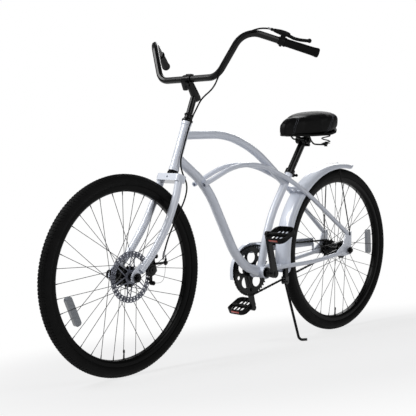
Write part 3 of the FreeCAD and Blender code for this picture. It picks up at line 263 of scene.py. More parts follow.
# %% Rubber, plastic and vinyl
def dull_black(name, shade, rough, grain, depth):
    """A black that turns a little grey where dust or wear catches on its grain."""
    finish = Finish(name)
    wear = finish.noise(45, 6)
    cells = finish.add("ShaderNodeTexVoronoi", {"feature": "F1"}, {
        "Vector": finish.place(), "Scale": grain})
    tint = finish.mix(wear, colour(shade, shade, shade * 1.06),
                      colour(shade * 1.7, shade * 1.7, shade * 1.75))
    return finish.surface(
        Base_Color=tint,
        Roughness=rough + 0.12 * wear,
        Normal=finish.bump(cells, 0.35, depth),
        Specular_IOR_Level=0.12)


SLOTS["grip_rubber"] = dull_black("grip_rubber", 0.005, 0.6, 900, 0.0003)
SLOTS["cable_black"] = dull_black("cable_black", 0.006, 0.42, 1500, 0.0001)
SLOTS["black_plastic"] = dull_black("black_plastic", 0.006, 0.42, 1300, 0.00015)
SLOTS["saddle_vinyl"] = dull_black("saddle_vinyl", 0.006, 0.42, 520, 0.0003)
print("blacks", list(SLOTS)[2:])

# %% [markdown]
# Bare metals differ in how they were worked. The brake rotor is ground in a circle, so its
# scratches run round the axle. Nuts and spindles are plated and nearly smooth. The chain is
# dark with oil, and the oil makes its colour patchy rather than its surface rough.

# %% Bare metals
def ground_steel():
    finish = Finish("rotor_steel")
    here = turned_about(finish, FRONT_AXLE)
    parts = finish.add("ShaderNodeSeparateXYZ", {}, {"Vector": here})
    across, up = parts.part("X"), parts.part("Z")
    reach = (across * across + up * up) ** 0.5
    scratches = finish.add("ShaderNodeTexNoise", {"noise_dimensions": "1D"}, {
        "W": reach, "Scale": 2600, "Detail": 2})
    tint = finish.mix(scratches, colour(0.38, 0.39, 0.43), colour(0.52, 0.53, 0.57))
    return finish.surface(
        Base_Color=tint,
        Metallic=0.75,
        Roughness=0.42 + 0.16 * scratches,
        Normal=finish.bump(scratches, 0.08, 0.0001))


def plain_steel(name, dark, light, rough):
    finish = Finish(name)
    stain = finish.noise(90, 5)
    fine = finish.noise(1400, 2)
    tint = finish.mix(stain, colour(dark, dark, dark * 1.03), colour(light, light, light * 1.02))
    return finish.surface(
        Base_Color=tint,
        Metallic=0.85,
        Roughness=rough + 0.22 * stain,
        Normal=finish.bump(fine, 0.12, 0.0002))


SLOTS["rotor_steel"] = ground_steel()
SLOTS["plain_steel"] = plain_steel("plain_steel", 0.42, 0.60, 0.28)
SLOTS["chain_steel"] = plain_steel("chain_steel", 0.04, 0.10, 0.34)
SLOTS["rim_black"] = plain_steel("rim_black", 0.012, 0.03, 0.24)
print("metals", list(SLOTS)[6:])

# %% [markdown]
# A wheel reflector is clear plastic with rows of tiny prisms on its back. Modelling real
# refraction would cost much and show little, so a grey glossy surface with a fine lattice of
# pyramids in its bump stands for it. The pedals carry the same thing in amber.

# %% Reflectors and tyre rubber
def reflector(name, dark, light):
    finish = Finish(name)
    prisms = finish.add("ShaderNodeTexVoronoi", {"feature": "F1", "distance": "CHEBYCHEV"}, {
        "Vector": finish.place(), "Scale": 420, "Randomness": 0.0})
    tint = finish.mix(prisms, dark, light)
    return finish.surface(
        Base_Color=tint,
        Roughness=0.16 + 0.1 * prisms,
        Normal=finish.bump(prisms, 0.5, 0.0006),
        Coat_Weight=0.9,
        Coat_Roughness=0.04)


def tyre_rubber():
    finish = Finish("tyre_black")
    dust = finish.noise(38, 6)
    fine = finish.noise(900, 3)
    tint = finish.mix(dust, colour(0.004, 0.004, 0.005), colour(0.012, 0.012, 0.012))
    return finish.surface(
        Base_Color=tint,
        Roughness=0.6 + 0.2 * dust,
        Normal=finish.bump(fine, 0.25, 0.0003),
        Specular_IOR_Level=0.14)


SLOTS["reflector_clear"] = reflector(
    "reflector_clear", colour(0.30, 0.32, 0.35), colour(0.58, 0.60, 0.63))
AMBER = reflector("reflector_amber", colour(0.60, 0.07, 0.015), colour(0.95, 0.26, 0.05))
SLOTS["tyre_black"] = tyre_rubber()

print("finishes", list(SLOTS))

# %% [markdown]
# The frame's record says which finish each of its solids has, so one loop hands them out. The
# solids themselves stay as they are.

# %% Finishes on the solids
for part in frame["record"]["subparts"]:
    solid = frame["nodes"][part["node"]]
    solid.data.materials.clear()
    solid.data.materials.append(SLOTS[part["material_slot"]])
print("finished", len(frame["nodes"]), "CAD nodes")

# %% [markdown]
# The studio is plain. Its pale floor goes over to white for the camera, fully so at a distance
# and for the most part near the bicycle, where a soft shadow is left. The light that the floor
# throws back on the bicycle stays at its plain level.

# %% Floor
FLOOR_SIZE = 60
SHADOW_REACH = 0.8
WHITE_REACH = 1.9
NEAR_WHITE = 0.76


def seen_white(finish, plain, share):
    """Mix in a white glow for rays from the camera, from gloss and from clear pieces."""
    path = finish.add("ShaderNodeLightPath", {}, {}, "Is Camera Ray")
    rays = path + path.part("Is Glossy Ray") + path.part("Is Transmission Ray")
    white = finish.add("ShaderNodeEmission", {}, {"Color": (1, 1, 1, 1), "Strength": 1.0})
    return finish.add("ShaderNodeMixShader", {}, {
        0: finish.add("ShaderNodeMath", {"operation": "MULTIPLY", "use_clamp": True},
                      {0: rays, 1: share}),
        1: plain, 2: white})


def studio_floor():
    finish = Finish("studio_floor")
    speck = finish.noise(30, 2)
    pale = finish.mix(speck, colour(0.70, 0.70, 0.71), colour(0.73, 0.73, 0.74))
    plain = finish.add("ShaderNodeBsdfDiffuse", {}, {"Color": pale, "Roughness": 0.9})
    reach = finish.add("ShaderNodeVectorMath", {"operation": "LENGTH"},
                       {"Vector": finish.place()}, "Value")
    away = finish.add("ShaderNodeMapRange", {"interpolation_type": "SMOOTHSTEP"}, {
        "Value": reach, "From Min": SHADOW_REACH, "From Max": WHITE_REACH,
        "To Min": NEAR_WHITE, "To Max": 1.0})
    seen = seen_white(finish, plain, away)
    finish.add("ShaderNodeOutputMaterial", {}, {"Surface": seen})
    return finish.material


flat = bmesh.new()
bmesh.ops.create_grid(flat, x_segments=2, y_segments=2, size=FLOOR_SIZE / 2)
floor_mesh = bpy.data.meshes.new("floor")
flat.to_mesh(floor_mesh)
flat.free()
floor_mesh.materials.append(studio_floor())
floor = placed("floor", floor_mesh)
print("floor shades to white from", SHADOW_REACH, "to", WHITE_REACH, "m")

# %% [markdown]
# The sky is one even colour, bright only for the camera. The lamps are wide discs, so that
# their shadows and highlights are soft: the key from the right in front, and two weaker ones
# that open up the shaded sides.

# %% Sky and lamps
SKY_LIGHT = 0.2
sky = bpy.data.worlds.new("studio_sky")
bpy.context.scene.world = sky
sky.use_nodes = True
sky_nodes = sky.node_tree.nodes
ray = sky_nodes.new("ShaderNodeLightPath")
glow = sky.node_tree.nodes["Background"]
glow.inputs["Color"].default_value = (1, 1, 1, 1)
level = sky_nodes.new("ShaderNodeMapRange")
level.inputs["To Min"].default_value = SKY_LIGHT
level.inputs["To Max"].default_value = 1.0
sky.node_tree.links.new(ray.outputs["Is Camera Ray"], level.inputs["Value"])
sky.node_tree.links.new(level.outputs["Result"], glow.inputs["Strength"])


def soft_lamp(name, place, aim_at, width, watts):
    """A round lamp that looks at a place on the bicycle."""
    lamp = bpy.data.lights.new(name, "AREA")
    lamp.shape = "DISK"
    lamp.size = width
    lamp.energy = watts
    way = Vector(aim_at) - Vector(place)
    turn = way.to_track_quat("-Z", "Y").to_matrix().to_4x4()
    placed(name, lamp).matrix_world = Matrix.Translation(place) @ turn


soft_lamp("key_lamp", (2.6, -1.4, 3.6), (0, 0, 0.5), 2.4, 152)
soft_lamp("fill_lamp", (0.6, 3.6, 2.2), (0, 0, 0.5), 2.4, 44)
soft_lamp("back_lamp", (-3.0, -1.8, 2.8), (0, 0, 0.6), 2.2, 36)
bpy.context.scene.view_settings.view_transform = "Standard"
print("lamps", [item.name for item in bpy.data.lights])

# %% [markdown]
# Every new piece goes through the same last steps, so they are one function. Doubles are
# merged, the faces are turned outwards, the mesh is leaned on to the stand, and the finished
# object stays at the origin with its place in its mesh, as a CAD node's does. Then it is hung
# on the body that carries it, and the plain CAD solids it stands for are hidden.

# %% Last steps of every piece
Y_AXIS = Vector((0, 1, 0))


def dressed(name, shape, body, slot, stands_for=(), finish=None, sharp=35):
    """Make a shape into a piece that rides on a body of the bicycle."""
    bmesh.ops.remove_doubles(shape, verts=shape.verts, dist=1e-6)
    bmesh.ops.recalc_face_normals(shape, faces=shape.faces)
    bmesh.ops.transform(shape, matrix=park, verts=shape.verts)
    mesh = bpy.data.meshes.new(name)
    shape.to_mesh(mesh)
    shape.free()
    mesh.materials.append(finish or SLOTS[slot])
    mesh.shade_smooth()
    mesh.set_sharp_from_angle(angle=math.radians(sharp))
    piece = placed(name, mesh)
    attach(piece, body)
    if stands_for:
        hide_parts(*stands_for)
    print(name, len(mesh.polygons), "faces")
    return piece


print("finishes to choose from:", len(SLOTS))

# %% [markdown]
# Most parts of a bicycle are turned, drawn or pressed, so a few kinds of solid make nearly all
# of it: a spun profile, a round bar, a block with rounded edges, and a skin between rings.

# %% Solids to build with
def turn_to(direction):
    """Rotation that lays +Y along a direction."""
    return Y_AXIS.rotation_difference(direction).to_matrix().to_4x4()


def move(shape, matrix):
    bmesh.ops.transform(shape, matrix=matrix, verts=shape.verts)
    return shape


def spun(rows, centre, axis=Y_AXIS, steps=96, closed=True):
    """A profile of (radius, along) in millimetres, spun full circle about an axis."""
    shape = bmesh.new()
    corners = [shape.verts.new(spot(radius, along, 0)) for radius, along in rows]
    ends = corners[1:] + corners[:1] if closed else corners[1:]
    for first, second in zip(corners, ends):
        shape.edges.new((first, second))
    bmesh.ops.spin(shape, geom=shape.verts[:] + shape.edges[:], cent=(0, 0, 0),
                   axis=(0, 1, 0), angle=2 * math.pi, steps=steps, use_merge=True)
    move(shape, Matrix.Translation(centre) @ turn_to(axis))
    return shape


def gathered(shapes):
    """Several shapes as one."""
    whole = bmesh.new()
    carrier = bpy.data.meshes.new("carrier")
    for shape in shapes:
        shape.to_mesh(carrier)
        whole.from_mesh(carrier)
        shape.free()
    bpy.data.meshes.remove(carrier)
    return whole


def bar(start, end, radius, end_radius=None, segments=16):
    """A straight round bar between two places, its radii in millimetres."""
    shape = bmesh.new()
    run = end - start
    last = radius if end_radius is None else end_radius
    bmesh.ops.create_cone(shape, cap_ends=True, segments=segments, radius1=radius / 1000,
                          radius2=last / 1000, depth=run.length)
    stand = Vector((0, 0, 1)).rotation_difference(run).to_matrix().to_4x4()
    return move(shape, Matrix.Translation((start + end) / 2) @ stand)


def block(size_x, size_y, size_z, edge=0.0):
    """A box round the origin, in millimetres, with its edges rounded."""
    shape = bmesh.new()
    bmesh.ops.create_cube(shape, size=1)
    bmesh.ops.scale(shape, vec=spot(size_x, size_y, size_z), verts=shape.verts)
    if edge:
        bmesh.ops.bevel(shape, geom=shape.edges[:], offset=edge / 1000, segments=2,
                        affect="EDGES", profile=0.5, material=-1)
    return shape


def cylinder_y(x, y, z, radius, length, end_radius=None, segments=32):
    """A round part whose axis runs across the bicycle, centred on its place."""
    half = spot(0, length / 2, 0)
    middle = spot(x, y, z)
    return bar(middle - half, middle + half, radius, end_radius, segments)


def all_round(shape):
    """Everything in a shape, as a list that a spin can copy."""
    return shape.verts[:] + shape.edges[:] + shape.faces[:]


def skinned(shape, rings):
    """Quads between each ring of vertices and the next."""
    for ring, after in zip(rings, rings[1:]):
        for n in range(len(ring)):
            m = (n + 1) % len(ring)
            shape.faces.new((ring[n], ring[m], after[m], after[n]))


def folded(shape, ring):
    """Quads across a ring whose second half runs back beside the first."""
    last = len(ring) - 1
    for n in range(len(ring) // 2 - 1):
        shape.faces.new((ring[n], ring[n + 1], ring[last - n - 1], ring[last - n]))


print("solids: spun, bar, block, cylinder_y; skins: skinned, folded")

# %% [markdown]
# A tyre is a ring with a round section. Its crown carries a fine tread of slanted blocks, and
# each side wall has thin raised rings where the mould's halves met. The ring is one spun
# profile. The blocks are real too, because they break up the tyre's outline against the
# floor: one slanted block per row, then a spin that leaves a copy at each step.

# %% Tyres
SECTION = 24
RIM_EDGE = 322
TREAD = 1.3
SECTION_MIDDLE = TYRE_RADIUS - SECTION
BLOCKS_ROUND = 176


def tyre_profile():
    """Half the section's outline, from the rim over the crown, then its mirror."""
    rows = [(RIM_EDGE, 14.5)]
    for degrees in range(128, -1, -8):
        angle = math.radians(degrees)
        radius = SECTION - (TREAD if degrees < 56 else 0.0)
        if degrees in (96, 72):
            radius += 0.5
        rows.append((SECTION_MIDDLE + radius * math.cos(angle), radius * math.sin(angle)))
    return rows + [(radius, -along) for radius, along in reversed(rows[:-1])]


def tread_row(across, slant, length, width):
    """One row of blocks, this many degrees off the crown."""
    shape = block(length, width, 2.2)
    move(shape, Matrix.Rotation(math.radians(slant), 4, "Z"))
    move(shape, shift(0, 0, SECTION - 1.1))
    move(shape, Matrix.Rotation(math.radians(-across), 4, "X"))
    move(shape, shift(0, 0, SECTION_MIDDLE))
    step = 360 / BLOCKS_ROUND
    bmesh.ops.spin(shape, geom=all_round(shape),
                   cent=(0, 0, 0), axis=(0, 1, 0), angle=math.radians(360 - step),
                   steps=BLOCKS_ROUND - 1, use_duplicate=True)
    return shape


# degrees off the crown, slant, length, width
TREAD_ROWS = [
    (0, 0, 6.5, 5.0),
    (17, 38, 5.0, 8.6),
    (-17, -38, 5.0, 8.6),
    (38, 28, 5.2, 8.4),
    (-38, -28, 5.2, 8.4),
    (54, 8, 4.6, 4.6),
    (-54, -8, 4.6, 4.6),
]
for wheel, centre in (("front", FRONT_AXLE), ("rear", REAR_AXLE)):
    parts = [move(tread_row(*row), Matrix.Translation(centre)) for row in TREAD_ROWS]
    parts.append(spun(tyre_profile(), centre, steps=144))
    dressed(wheel + "_tyre_treaded", gathered(parts), wheel + "_wheel", "tyre_black",
            [wheel + "_tyre"])

# %% [markdown]
# The rim is a box section, open to the tyre, with 36 spokes that cross on their way to the
# hub. Each spoke ends in a nipple at the rim and in a bent head at the hub flange. The plain
# rods of the CAD model run the right way, so the new spokes follow the same rule: alternate
# flanges, and every second pair leads while the next one trails.

# %% Rims, spokes, nipples and valves
RIM_INNER = 299.6
SPOKES = 36
FLANGE_Y = 31
FLANGE_HALF = 1.9
SPOKE_RADIUS = 1.1
SPOKE_SWEEP = 6
NIPPLE_LONG = 14
RIM_ROWS = [
    (RIM_EDGE, -17), (RIM_EDGE - 0.6, -16.4), (RIM_EDGE - 0.6, -15), (RIM_EDGE - 12, -14.8),
    (RIM_EDGE - 16, -11), (RIM_EDGE - 16, 11), (RIM_EDGE - 12, 14.8), (RIM_EDGE - 0.6, 15),
    (RIM_EDGE - 0.6, 16.4), (RIM_EDGE, 17), (RIM_EDGE - 3, 17), (309.4, 17), (307.0, 16.3),
    (301.4, 11.4), (300.0, 9.6), (RIM_INNER, 7), (RIM_INNER, -7), (300.0, -9.6),
    (301.4, -11.4), (307.0, -16.3), (309.4, -17), (RIM_EDGE - 3, -17),
]


def spoke_set(centre, flange):
    """All spokes of one wheel, each with its nipple and its head at the hub."""
    parts = []
    step = 2 * math.pi / SPOKES
    for number in range(SPOKES):
        side = 1 if number % 2 == 0 else -1
        lead = 1 if number % 4 < 2 else -1
        at_rim = number * step
        at_hub = at_rim + lead * SPOKE_SWEEP * step
        hub_y = side * (FLANGE_Y + lead * FLANGE_HALF)
        start = centre + spot(flange * math.cos(at_hub), hub_y, flange * math.sin(at_hub))
        end = centre + spot((RIM_INNER - 0.2) * math.cos(at_rim), side * 3,
                            (RIM_INNER - 0.2) * math.sin(at_rim))
        run = (end - start).normalized()
        parts.append(bar(start, end, SPOKE_RADIUS, segments=8))
        parts.append(bar(end - run * NIPPLE_LONG / 1000, end, 1.5, 2.1, segments=8))
        head = start - Y_AXIS * side * 0.0012 * lead
        parts.append(bar(head, start + Y_AXIS * side * lead * 0.0016, 2.0, segments=8))
    return gathered(parts)


for wheel, centre, flange in (("front", FRONT_AXLE, 38.1), ("rear", REAR_AXLE, 39.1)):
    dressed(wheel + "_rim_polished", spun(RIM_ROWS, centre, steps=144), wheel + "_wheel",
            "rim_black", [wheel + "_rim"])
    dressed(wheel + "_spokes_laced", spoke_set(centre, flange), wheel + "_wheel",
            "black_metal", [wheel + "_spokes"])
    valve_way = Vector((0, 0, -1))
    valve_foot = centre + valve_way * RIM_INNER / 1000
    valve = [
        bar(valve_foot + valve_way * 0.004, valve_foot - valve_way * 0.024, 2.6),
        bar(valve_foot - valve_way * 0.024, valve_foot - valve_way * 0.034, 3.9, 3.3),
        bar(valve_foot, valve_foot - valve_way * 0.003, 5.0, segments=6),
    ]
    dressed(wheel + "_valve", gathered(valve), wheel + "_wheel", "black_plastic")

# %% [markdown]
# A disc rotor is a steel ring on six pairs of slender arms, all pressed from one sheet. The
# ring's edge is wavy so that it clears dust from the pads, and two rows of holes do the same.
# One sector is drawn flat: a wavy outer edge, two holes bridged into it with bridge_loops, and
# an inner edge. A spin then copies it all round.

# %% Rotor track
ROTOR_RADIUS = 92
ROTOR_Y = 40
ROTOR_SECTORS = 34
ROTOR_THICK = 2.0
ROTOR_WAVE = 1.6
TRACK_MIDDLE = 81.5
TRACK_INNER = 71.5


def ringed_hole(shape, outline, middle, radius):
    """Faces between an outline and a round hole in it."""
    count = len(outline)
    outer = [shape.verts.new(point) for point in outline]
    inner = []
    for point in outline:
        way = (point - middle).normalized()
        inner.append(shape.verts.new(middle + way * radius / 1000))
    loops = []
    for loop in (outer, inner):
        loops += [shape.edges.new((loop[n], loop[(n + 1) % count])) for n in range(count)]
    bmesh.ops.bridge_loops(shape, edges=loops)


def polar(radius, degrees):
    angle = math.radians(degrees)
    return spot(radius * math.cos(angle), 0, radius * math.sin(angle))


def rotor_ring():
    """The braking track: one sector with two holes, copied round."""
    shape = bmesh.new()
    wide = 360 / ROTOR_SECTORS
    half = wide / 2
    outer = [polar(ROTOR_RADIUS - ROTOR_WAVE, 0), polar(ROTOR_RADIUS - 0.3, wide * 0.25),
             polar(ROTOR_RADIUS, half), polar(ROTOR_RADIUS - 0.3, wide * 0.75),
             polar(ROTOR_RADIUS - ROTOR_WAVE, wide)]
    middle = [polar(TRACK_MIDDLE, degrees) for degrees in (0, half, wide)]
    inner = [polar(TRACK_INNER, 0), polar(TRACK_INNER - 1, half), polar(TRACK_INNER, wide)]
    ringed_hole(shape, outer + middle[::-1], polar(86.6, half), 3.1)
    ringed_hole(shape, middle + inner[::-1], polar(76.4, half * 0.8), 3.0)
    bmesh.ops.remove_doubles(shape, verts=shape.verts, dist=1e-6)
    bmesh.ops.spin(shape, geom=all_round(shape), cent=(0, 0, 0), axis=(0, 1, 0),
                   angle=math.radians(360 - wide), steps=ROTOR_SECTORS - 1, use_duplicate=True)
    return shape


print("rotor track has", ROTOR_SECTORS, "sectors of", round(360 / ROTOR_SECTORS, 2), "degrees")

# %% [markdown]
# The arms and the carrier ring are drawn flat too, each arm as one quad. Solidify then gives
# every sheet its own thickness, because the arms are a little thinner than the track, and a
# rivet joins each pair of arms to the carrier.

# %% Rotor arms and carrier
ARM_PAIRS = 6
FIRST_ARM = 8
ARM_LEAN = 25
arm_turns = [number * 360 / ARM_PAIRS + FIRST_ARM for number in range(ARM_PAIRS)]


def rotor_arms():
    """Slender arms in pairs, each pair spreading from one bolt out to the track."""
    shape = bmesh.new()
    for turn in arm_turns:
        for lean in (-ARM_LEAN, ARM_LEAN):
            foot = polar(23, turn)
            tip = polar(TRACK_INNER + 1, turn + lean)
            across = (tip - foot).cross(Y_AXIS).normalized() * 0.0018
            corners = [foot - across, tip - across, tip + across, foot + across]
            shape.faces.new([shape.verts.new(point) for point in corners])
    return shape


def rotor_middle():
    """The flat carrier ring, with room for the hub's end."""
    shape = bmesh.new()
    steps = 48
    rings = []
    for radius in (14.2, 25):
        ring = [shape.verts.new(polar(radius, number * 360 / steps)) for number in range(steps)]
        rings += [shape.edges.new((ring[n], ring[(n + 1) % steps])) for n in range(steps)]
    bmesh.ops.bridge_loops(shape, edges=rings)
    return shape


def thickened(shape, thickness):
    """A flat sheet in the wheel's plane, made this thick about its middle."""
    bmesh.ops.recalc_face_normals(shape, faces=shape.faces)
    bmesh.ops.solidify(shape, geom=shape.faces[:], thickness=thickness / 1000)
    lowest = min(vert.co.y for vert in shape.verts)
    highest = max(vert.co.y for vert in shape.verts)
    return move(shape, Matrix.Translation((0, -(lowest + highest) / 2, 0)))


rotor_at = Matrix.Translation(FRONT_AXLE + spot(0, ROTOR_Y, 0))
rotor_parts = [
    thickened(rotor_ring(), ROTOR_THICK),
    thickened(rotor_arms(), ROTOR_THICK - 0.2),
    thickened(rotor_middle(), ROTOR_THICK),
]
for turn in arm_turns:
    foot = polar(22, turn)
    rotor_parts.append(bar(foot + spot(0, 0.6, 0), foot + spot(0, 3.2, 0), 3.6, 3.0))
dressed("rotor_drilled", move(gathered(rotor_parts), rotor_at), "front_wheel", "rotor_steel",
        ["brake_rotor"], sharp=30)

# %% [markdown]
# A chain is a row of equal links that run round two toothed wheels. The loop is two arcs and
# two straight runs, so a place on it follows from the distance travelled along it. The big
# wheel is larger here than in the solids, so the loop is longer too.

# %% Chain route
RING_TEETH = 44
GEAR_TEETH = 18
PITCH = 12.7
CHAIN_Y = -51
RING_GROWTH = 1.145
RING_REACH = RING_GROWTH * PITCH / (2 * math.sin(math.pi / RING_TEETH))
GEAR_REACH = PITCH / (2 * math.sin(math.pi / GEAR_TEETH))
CHAIN_SHIFT = spot(0, CHAIN_Y, 0)
ring_at = CRANK_AXIS + CHAIN_SHIFT
gear_at = REAR_AXLE + CHAIN_SHIFT
between = (ring_at - gear_at) * 1000
slope = math.atan2(between.z, between.x)
slant = math.asin((RING_REACH - GEAR_REACH) / between.length)
RUN = math.sqrt(between.length ** 2 - (RING_REACH - GEAR_REACH) ** 2)
RING_WRAP = RING_REACH * (math.pi + 2 * slant)
GEAR_WRAP = GEAR_REACH * (math.pi - 2 * slant)
LOOP = 2 * RUN + RING_WRAP + GEAR_WRAP
LINKS = 2 * round(LOOP / PITCH / 2)


def on_loop(travelled):
    """A place on the chain's loop, from the top of the chainring round its front."""
    travelled %= LOOP
    top = slope + math.pi / 2 + slant
    low = slope - math.pi / 2 - slant

    def rim_place(middle, reach, angle):
        return middle + spot(reach * math.cos(angle), 0, reach * math.sin(angle))

    if travelled < RING_WRAP:
        return rim_place(ring_at, RING_REACH, top - travelled / RING_REACH)
    travelled -= RING_WRAP
    if travelled < RUN:
        start = rim_place(ring_at, RING_REACH, low)
        return start.lerp(rim_place(gear_at, GEAR_REACH, low), travelled / RUN)
    travelled -= RUN
    if travelled < GEAR_WRAP:
        return rim_place(gear_at, GEAR_REACH, low - travelled / GEAR_REACH)
    start = rim_place(gear_at, GEAR_REACH, top)
    return start.lerp(rim_place(ring_at, RING_REACH, top), (travelled - GEAR_WRAP) / RUN)


print("chain loop is", round(LOOP), "mm long and takes", LINKS, "links")

# %% [markdown]
# A link is two plates with round ends and a waist. Wide and narrow links take turns, and a
# roller and a pin sit where two of them meet. There are over a hundred, so each plate has
# only a dozen corners.

# %% Chain links
PLATE_END = 0.0041
PLATE_WAIST = 0.0028
PLATE_HALF = 0.6


def link_plate(at, end, y):
    """A plate with round ends and a narrower waist, between two pins."""
    shape = bmesh.new()
    along = (end - at).normalized()
    across = Vector((-along.z, 0, along.x))
    rim = []
    for pin, way in ((end, 1), (at, -1)):
        for degrees in (-90, -45, 0, 45, 90):
            angle = math.radians(degrees)
            rim.append(pin + (along * math.cos(angle) + across * math.sin(angle)) * way * PLATE_END)
        rim.append((at + end) / 2 + across * way * PLATE_WAIST)
    lows = [shape.verts.new(point + spot(0, y - PLATE_HALF, 0)) for point in rim]
    highs = [shape.verts.new(point + spot(0, y + PLATE_HALF, 0)) for point in rim]
    shape.faces.new(lows)
    shape.faces.new(highs[::-1])
    for n in range(len(rim)):
        after = (n + 1) % len(rim)
        shape.faces.new((lows[after], lows[n], highs[n], highs[after]))
    return shape


links = []
for number in range(LINKS):
    at = on_loop(number * LOOP / LINKS)
    end = on_loop((number + 1) * LOOP / LINKS)
    apart = 1.9 if number % 2 else 3.1
    links += [link_plate(at, end, apart), link_plate(at, end, -apart)]
    links.append(bar(at - Y_AXIS * 0.0015, at + Y_AXIS * 0.0015, 3.8, segments=10))
    links.append(bar(at - Y_AXIS * 0.0039, at + Y_AXIS * 0.0039, 1.7, segments=8))
dressed("chain_links", gathered(links), "frame", "chain_steel", ["chain"])
print(LINKS, "links of", round(LOOP / LINKS, 2), "mm")

# %% [markdown]
# The chainring in the photograph reaches further out than the plain solid does, so its mesh is
# copied, grown about the crank's axis and given the bolts that hold it to the arm.

# %% Chainring
ring_shape = bmesh.new()
ring_shape.from_mesh(bpy.data.objects["chainring"].data)
move(ring_shape, Matrix.Translation(CRANK_AXIS)
     @ Matrix.Diagonal((RING_GROWTH, 1, RING_GROWTH, 1))
     @ Matrix.Translation(-CRANK_AXIS) @ park.inverted())
dressed("chainring_wide", ring_shape, "crankset", "black_metal", ["chainring"], sharp=30)

BOLT_CIRCLE = 34
ring_bolts = []
for number in range(5):
    angle = math.radians(72 * number + 51)
    x = CRANK_X + BOLT_CIRCLE * math.cos(angle)
    z = CRANK_Z + BOLT_CIRCLE * math.sin(angle)
    ring_bolts.append(cylinder_y(x, CHAIN_Y, z, 6, 7))
    ring_bolts.append(cylinder_y(x, CHAIN_Y, z, 3, 8.4, segments=6))
ring_bolts.append(cylinder_y(CRANK_X, -57, CRANK_Z, 27, 9, 22))
dressed("chainring_bolts", gathered(ring_bolts), "crankset", "black_metal")

# %% [markdown]
# The pedals are cages: a band runs round the core, higher in front and behind, and blunt
# teeth along its upper and lower edges hold the shoe. The band is drawn as four rings with a
# skin between them, outside, below, inside and above.

# %% Pedal cage
PEDAL_WIDE = 104
PEDAL_LONG = 96
BAND_HIGH = 22
BAND_THICK = 3.2


def band_outline(side_inset):
    """Plan of the cage: flat front and back, and corners cut back to the sides."""
    long = PEDAL_LONG / 2 - side_inset
    wide = PEDAL_WIDE / 2 - side_inset
    quarter = [(long, wide - 23), (long - 4, wide - 12), (long - 13, wide - 3),
               (long - 24, wide)]
    mirrored = [(-x, y) for x, y in reversed(quarter)]
    half = quarter + mirrored
    return half + [(-x, -y) for x, y in half]


def cage_band():
    """The outer band, higher in front and behind where the reflectors sit."""
    shape = bmesh.new()
    outer = band_outline(0)
    inner = band_outline(BAND_THICK)
    rings = []
    for outline, way in ((outer, 1), (outer, -1), (inner, -1), (inner, 1)):
        ring = []
        for x, y in outline:
            share = min(1.0, abs(x) / (PEDAL_LONG / 2 - 8))
            high = BAND_HIGH / 2 * (0.58 + 0.42 * share)
            ring.append(shape.verts.new(spot(x, y, way * high)))
        rings.append(ring)
    skinned(shape, rings + rings[:1])
    return shape


def cage_teeth():
    """Small blunt teeth on the upper and lower edges of the band."""
    teeth = []
    for way in (1, -1):
        for end in (1, -1):
            for n in range(6):
                tooth = bmesh.new()
                bmesh.ops.create_cone(tooth, cap_ends=True, segments=4, radius1=0.003,
                                      radius2=0.0012, depth=0.004)
                move(tooth, Matrix.Rotation(math.pi / 4, 4, "Z"))
                if way < 0:
                    move(tooth, Matrix.Rotation(math.pi, 4, "X"))
                teeth.append(move(tooth, shift(end * (PEDAL_LONG / 2 - 2.4), (n - 2.5) * 10.5,
                                               way * BAND_HIGH / 2)))
    return teeth


print("pedal cage is", PEDAL_LONG, "mm long and", PEDAL_WIDE, "mm wide")

# %% [markdown]
# Inside the cage a barrel turns on the spindle, and thin bridges join it to the band. The
# front and rear faces carry amber reflectors. Each pedal hangs nose down, and one loop makes
# both, because they differ only in where their crank puts them.

# %% Pedals
CRANK_TURN = math.radians(15)
CRANK_LENGTH = 170
ARM_Y = 77
ARM_HALF = 6.5
PEDAL_NEAR = ARM_HALF + 7
PEDAL_PITCH = 27


def pedal_core():
    """The barrel about the spindle, its collars and the bridges out to the band."""
    half = PEDAL_WIDE / 2
    rows = [(5.2, -half + 2), (9.5, -half + 2), (9.5, -half + 8), (8.2, -half + 12),
            (8.2, -8), (10.2, -5), (10.2, 5), (8.2, 8), (8.2, half - 12),
            (9.5, half - 8), (9.5, half - 2), (5.2, half - 2)]
    parts = [spun(rows, Vector((0, 0, 0)), steps=32)]
    for y in (-30, -10, 10, 30):
        parts.append(move(block(PEDAL_LONG - 5, 3, 7, 0.8), shift(0, y, 0)))
    for y in (-half + 5, half - 5):
        parts.append(move(block(30, 4.5, 12, 1.0), shift(0, y, 0)))
    return parts


def amber_plates():
    """The reflectors in the front and rear faces of one cage."""
    plates = []
    for end in (1, -1):
        plate = block(2.4, 44, 8.5, 0.7)
        plates.append(move(plate, shift(end * (PEDAL_LONG / 2 - 0.7), 0, 0)))
    return plates


for side, name in ((1, "left"), (-1, "right")):
    reach = side * CRANK_LENGTH
    tip = CRANK_AXIS + spot(reach * math.sin(CRANK_TURN), side * ARM_Y,
                            reach * math.cos(CRANK_TURN))
    middle = tip + spot(0, side * (PEDAL_NEAR + PEDAL_WIDE / 2), 0)
    hang = Matrix.Translation(middle) @ Matrix.Rotation(math.radians(PEDAL_PITCH), 4, "Y")
    cage = [cage_band()] + cage_teeth() + pedal_core()
    dressed("pedal_cage_" + name, move(gathered(cage), hang), name + "_pedal",
            "black_plastic", ["pedal_" + name])
    dressed("pedal_amber_" + name, move(gathered(amber_plates()), hang), name + "_pedal",
            "reflector_clear", finish=AMBER)

# %% [markdown]
# The saddle's CAD solid is flatter than the photographed saddle. The new one is drawn as
# cross sections from nose to tail, each a closed curve with its own width and height, so that
# the nose stays narrow and the rear swells. A skin between the sections closes it.

# %% Saddle form
RING_POINTS = 40
SHOULDER = 0.62

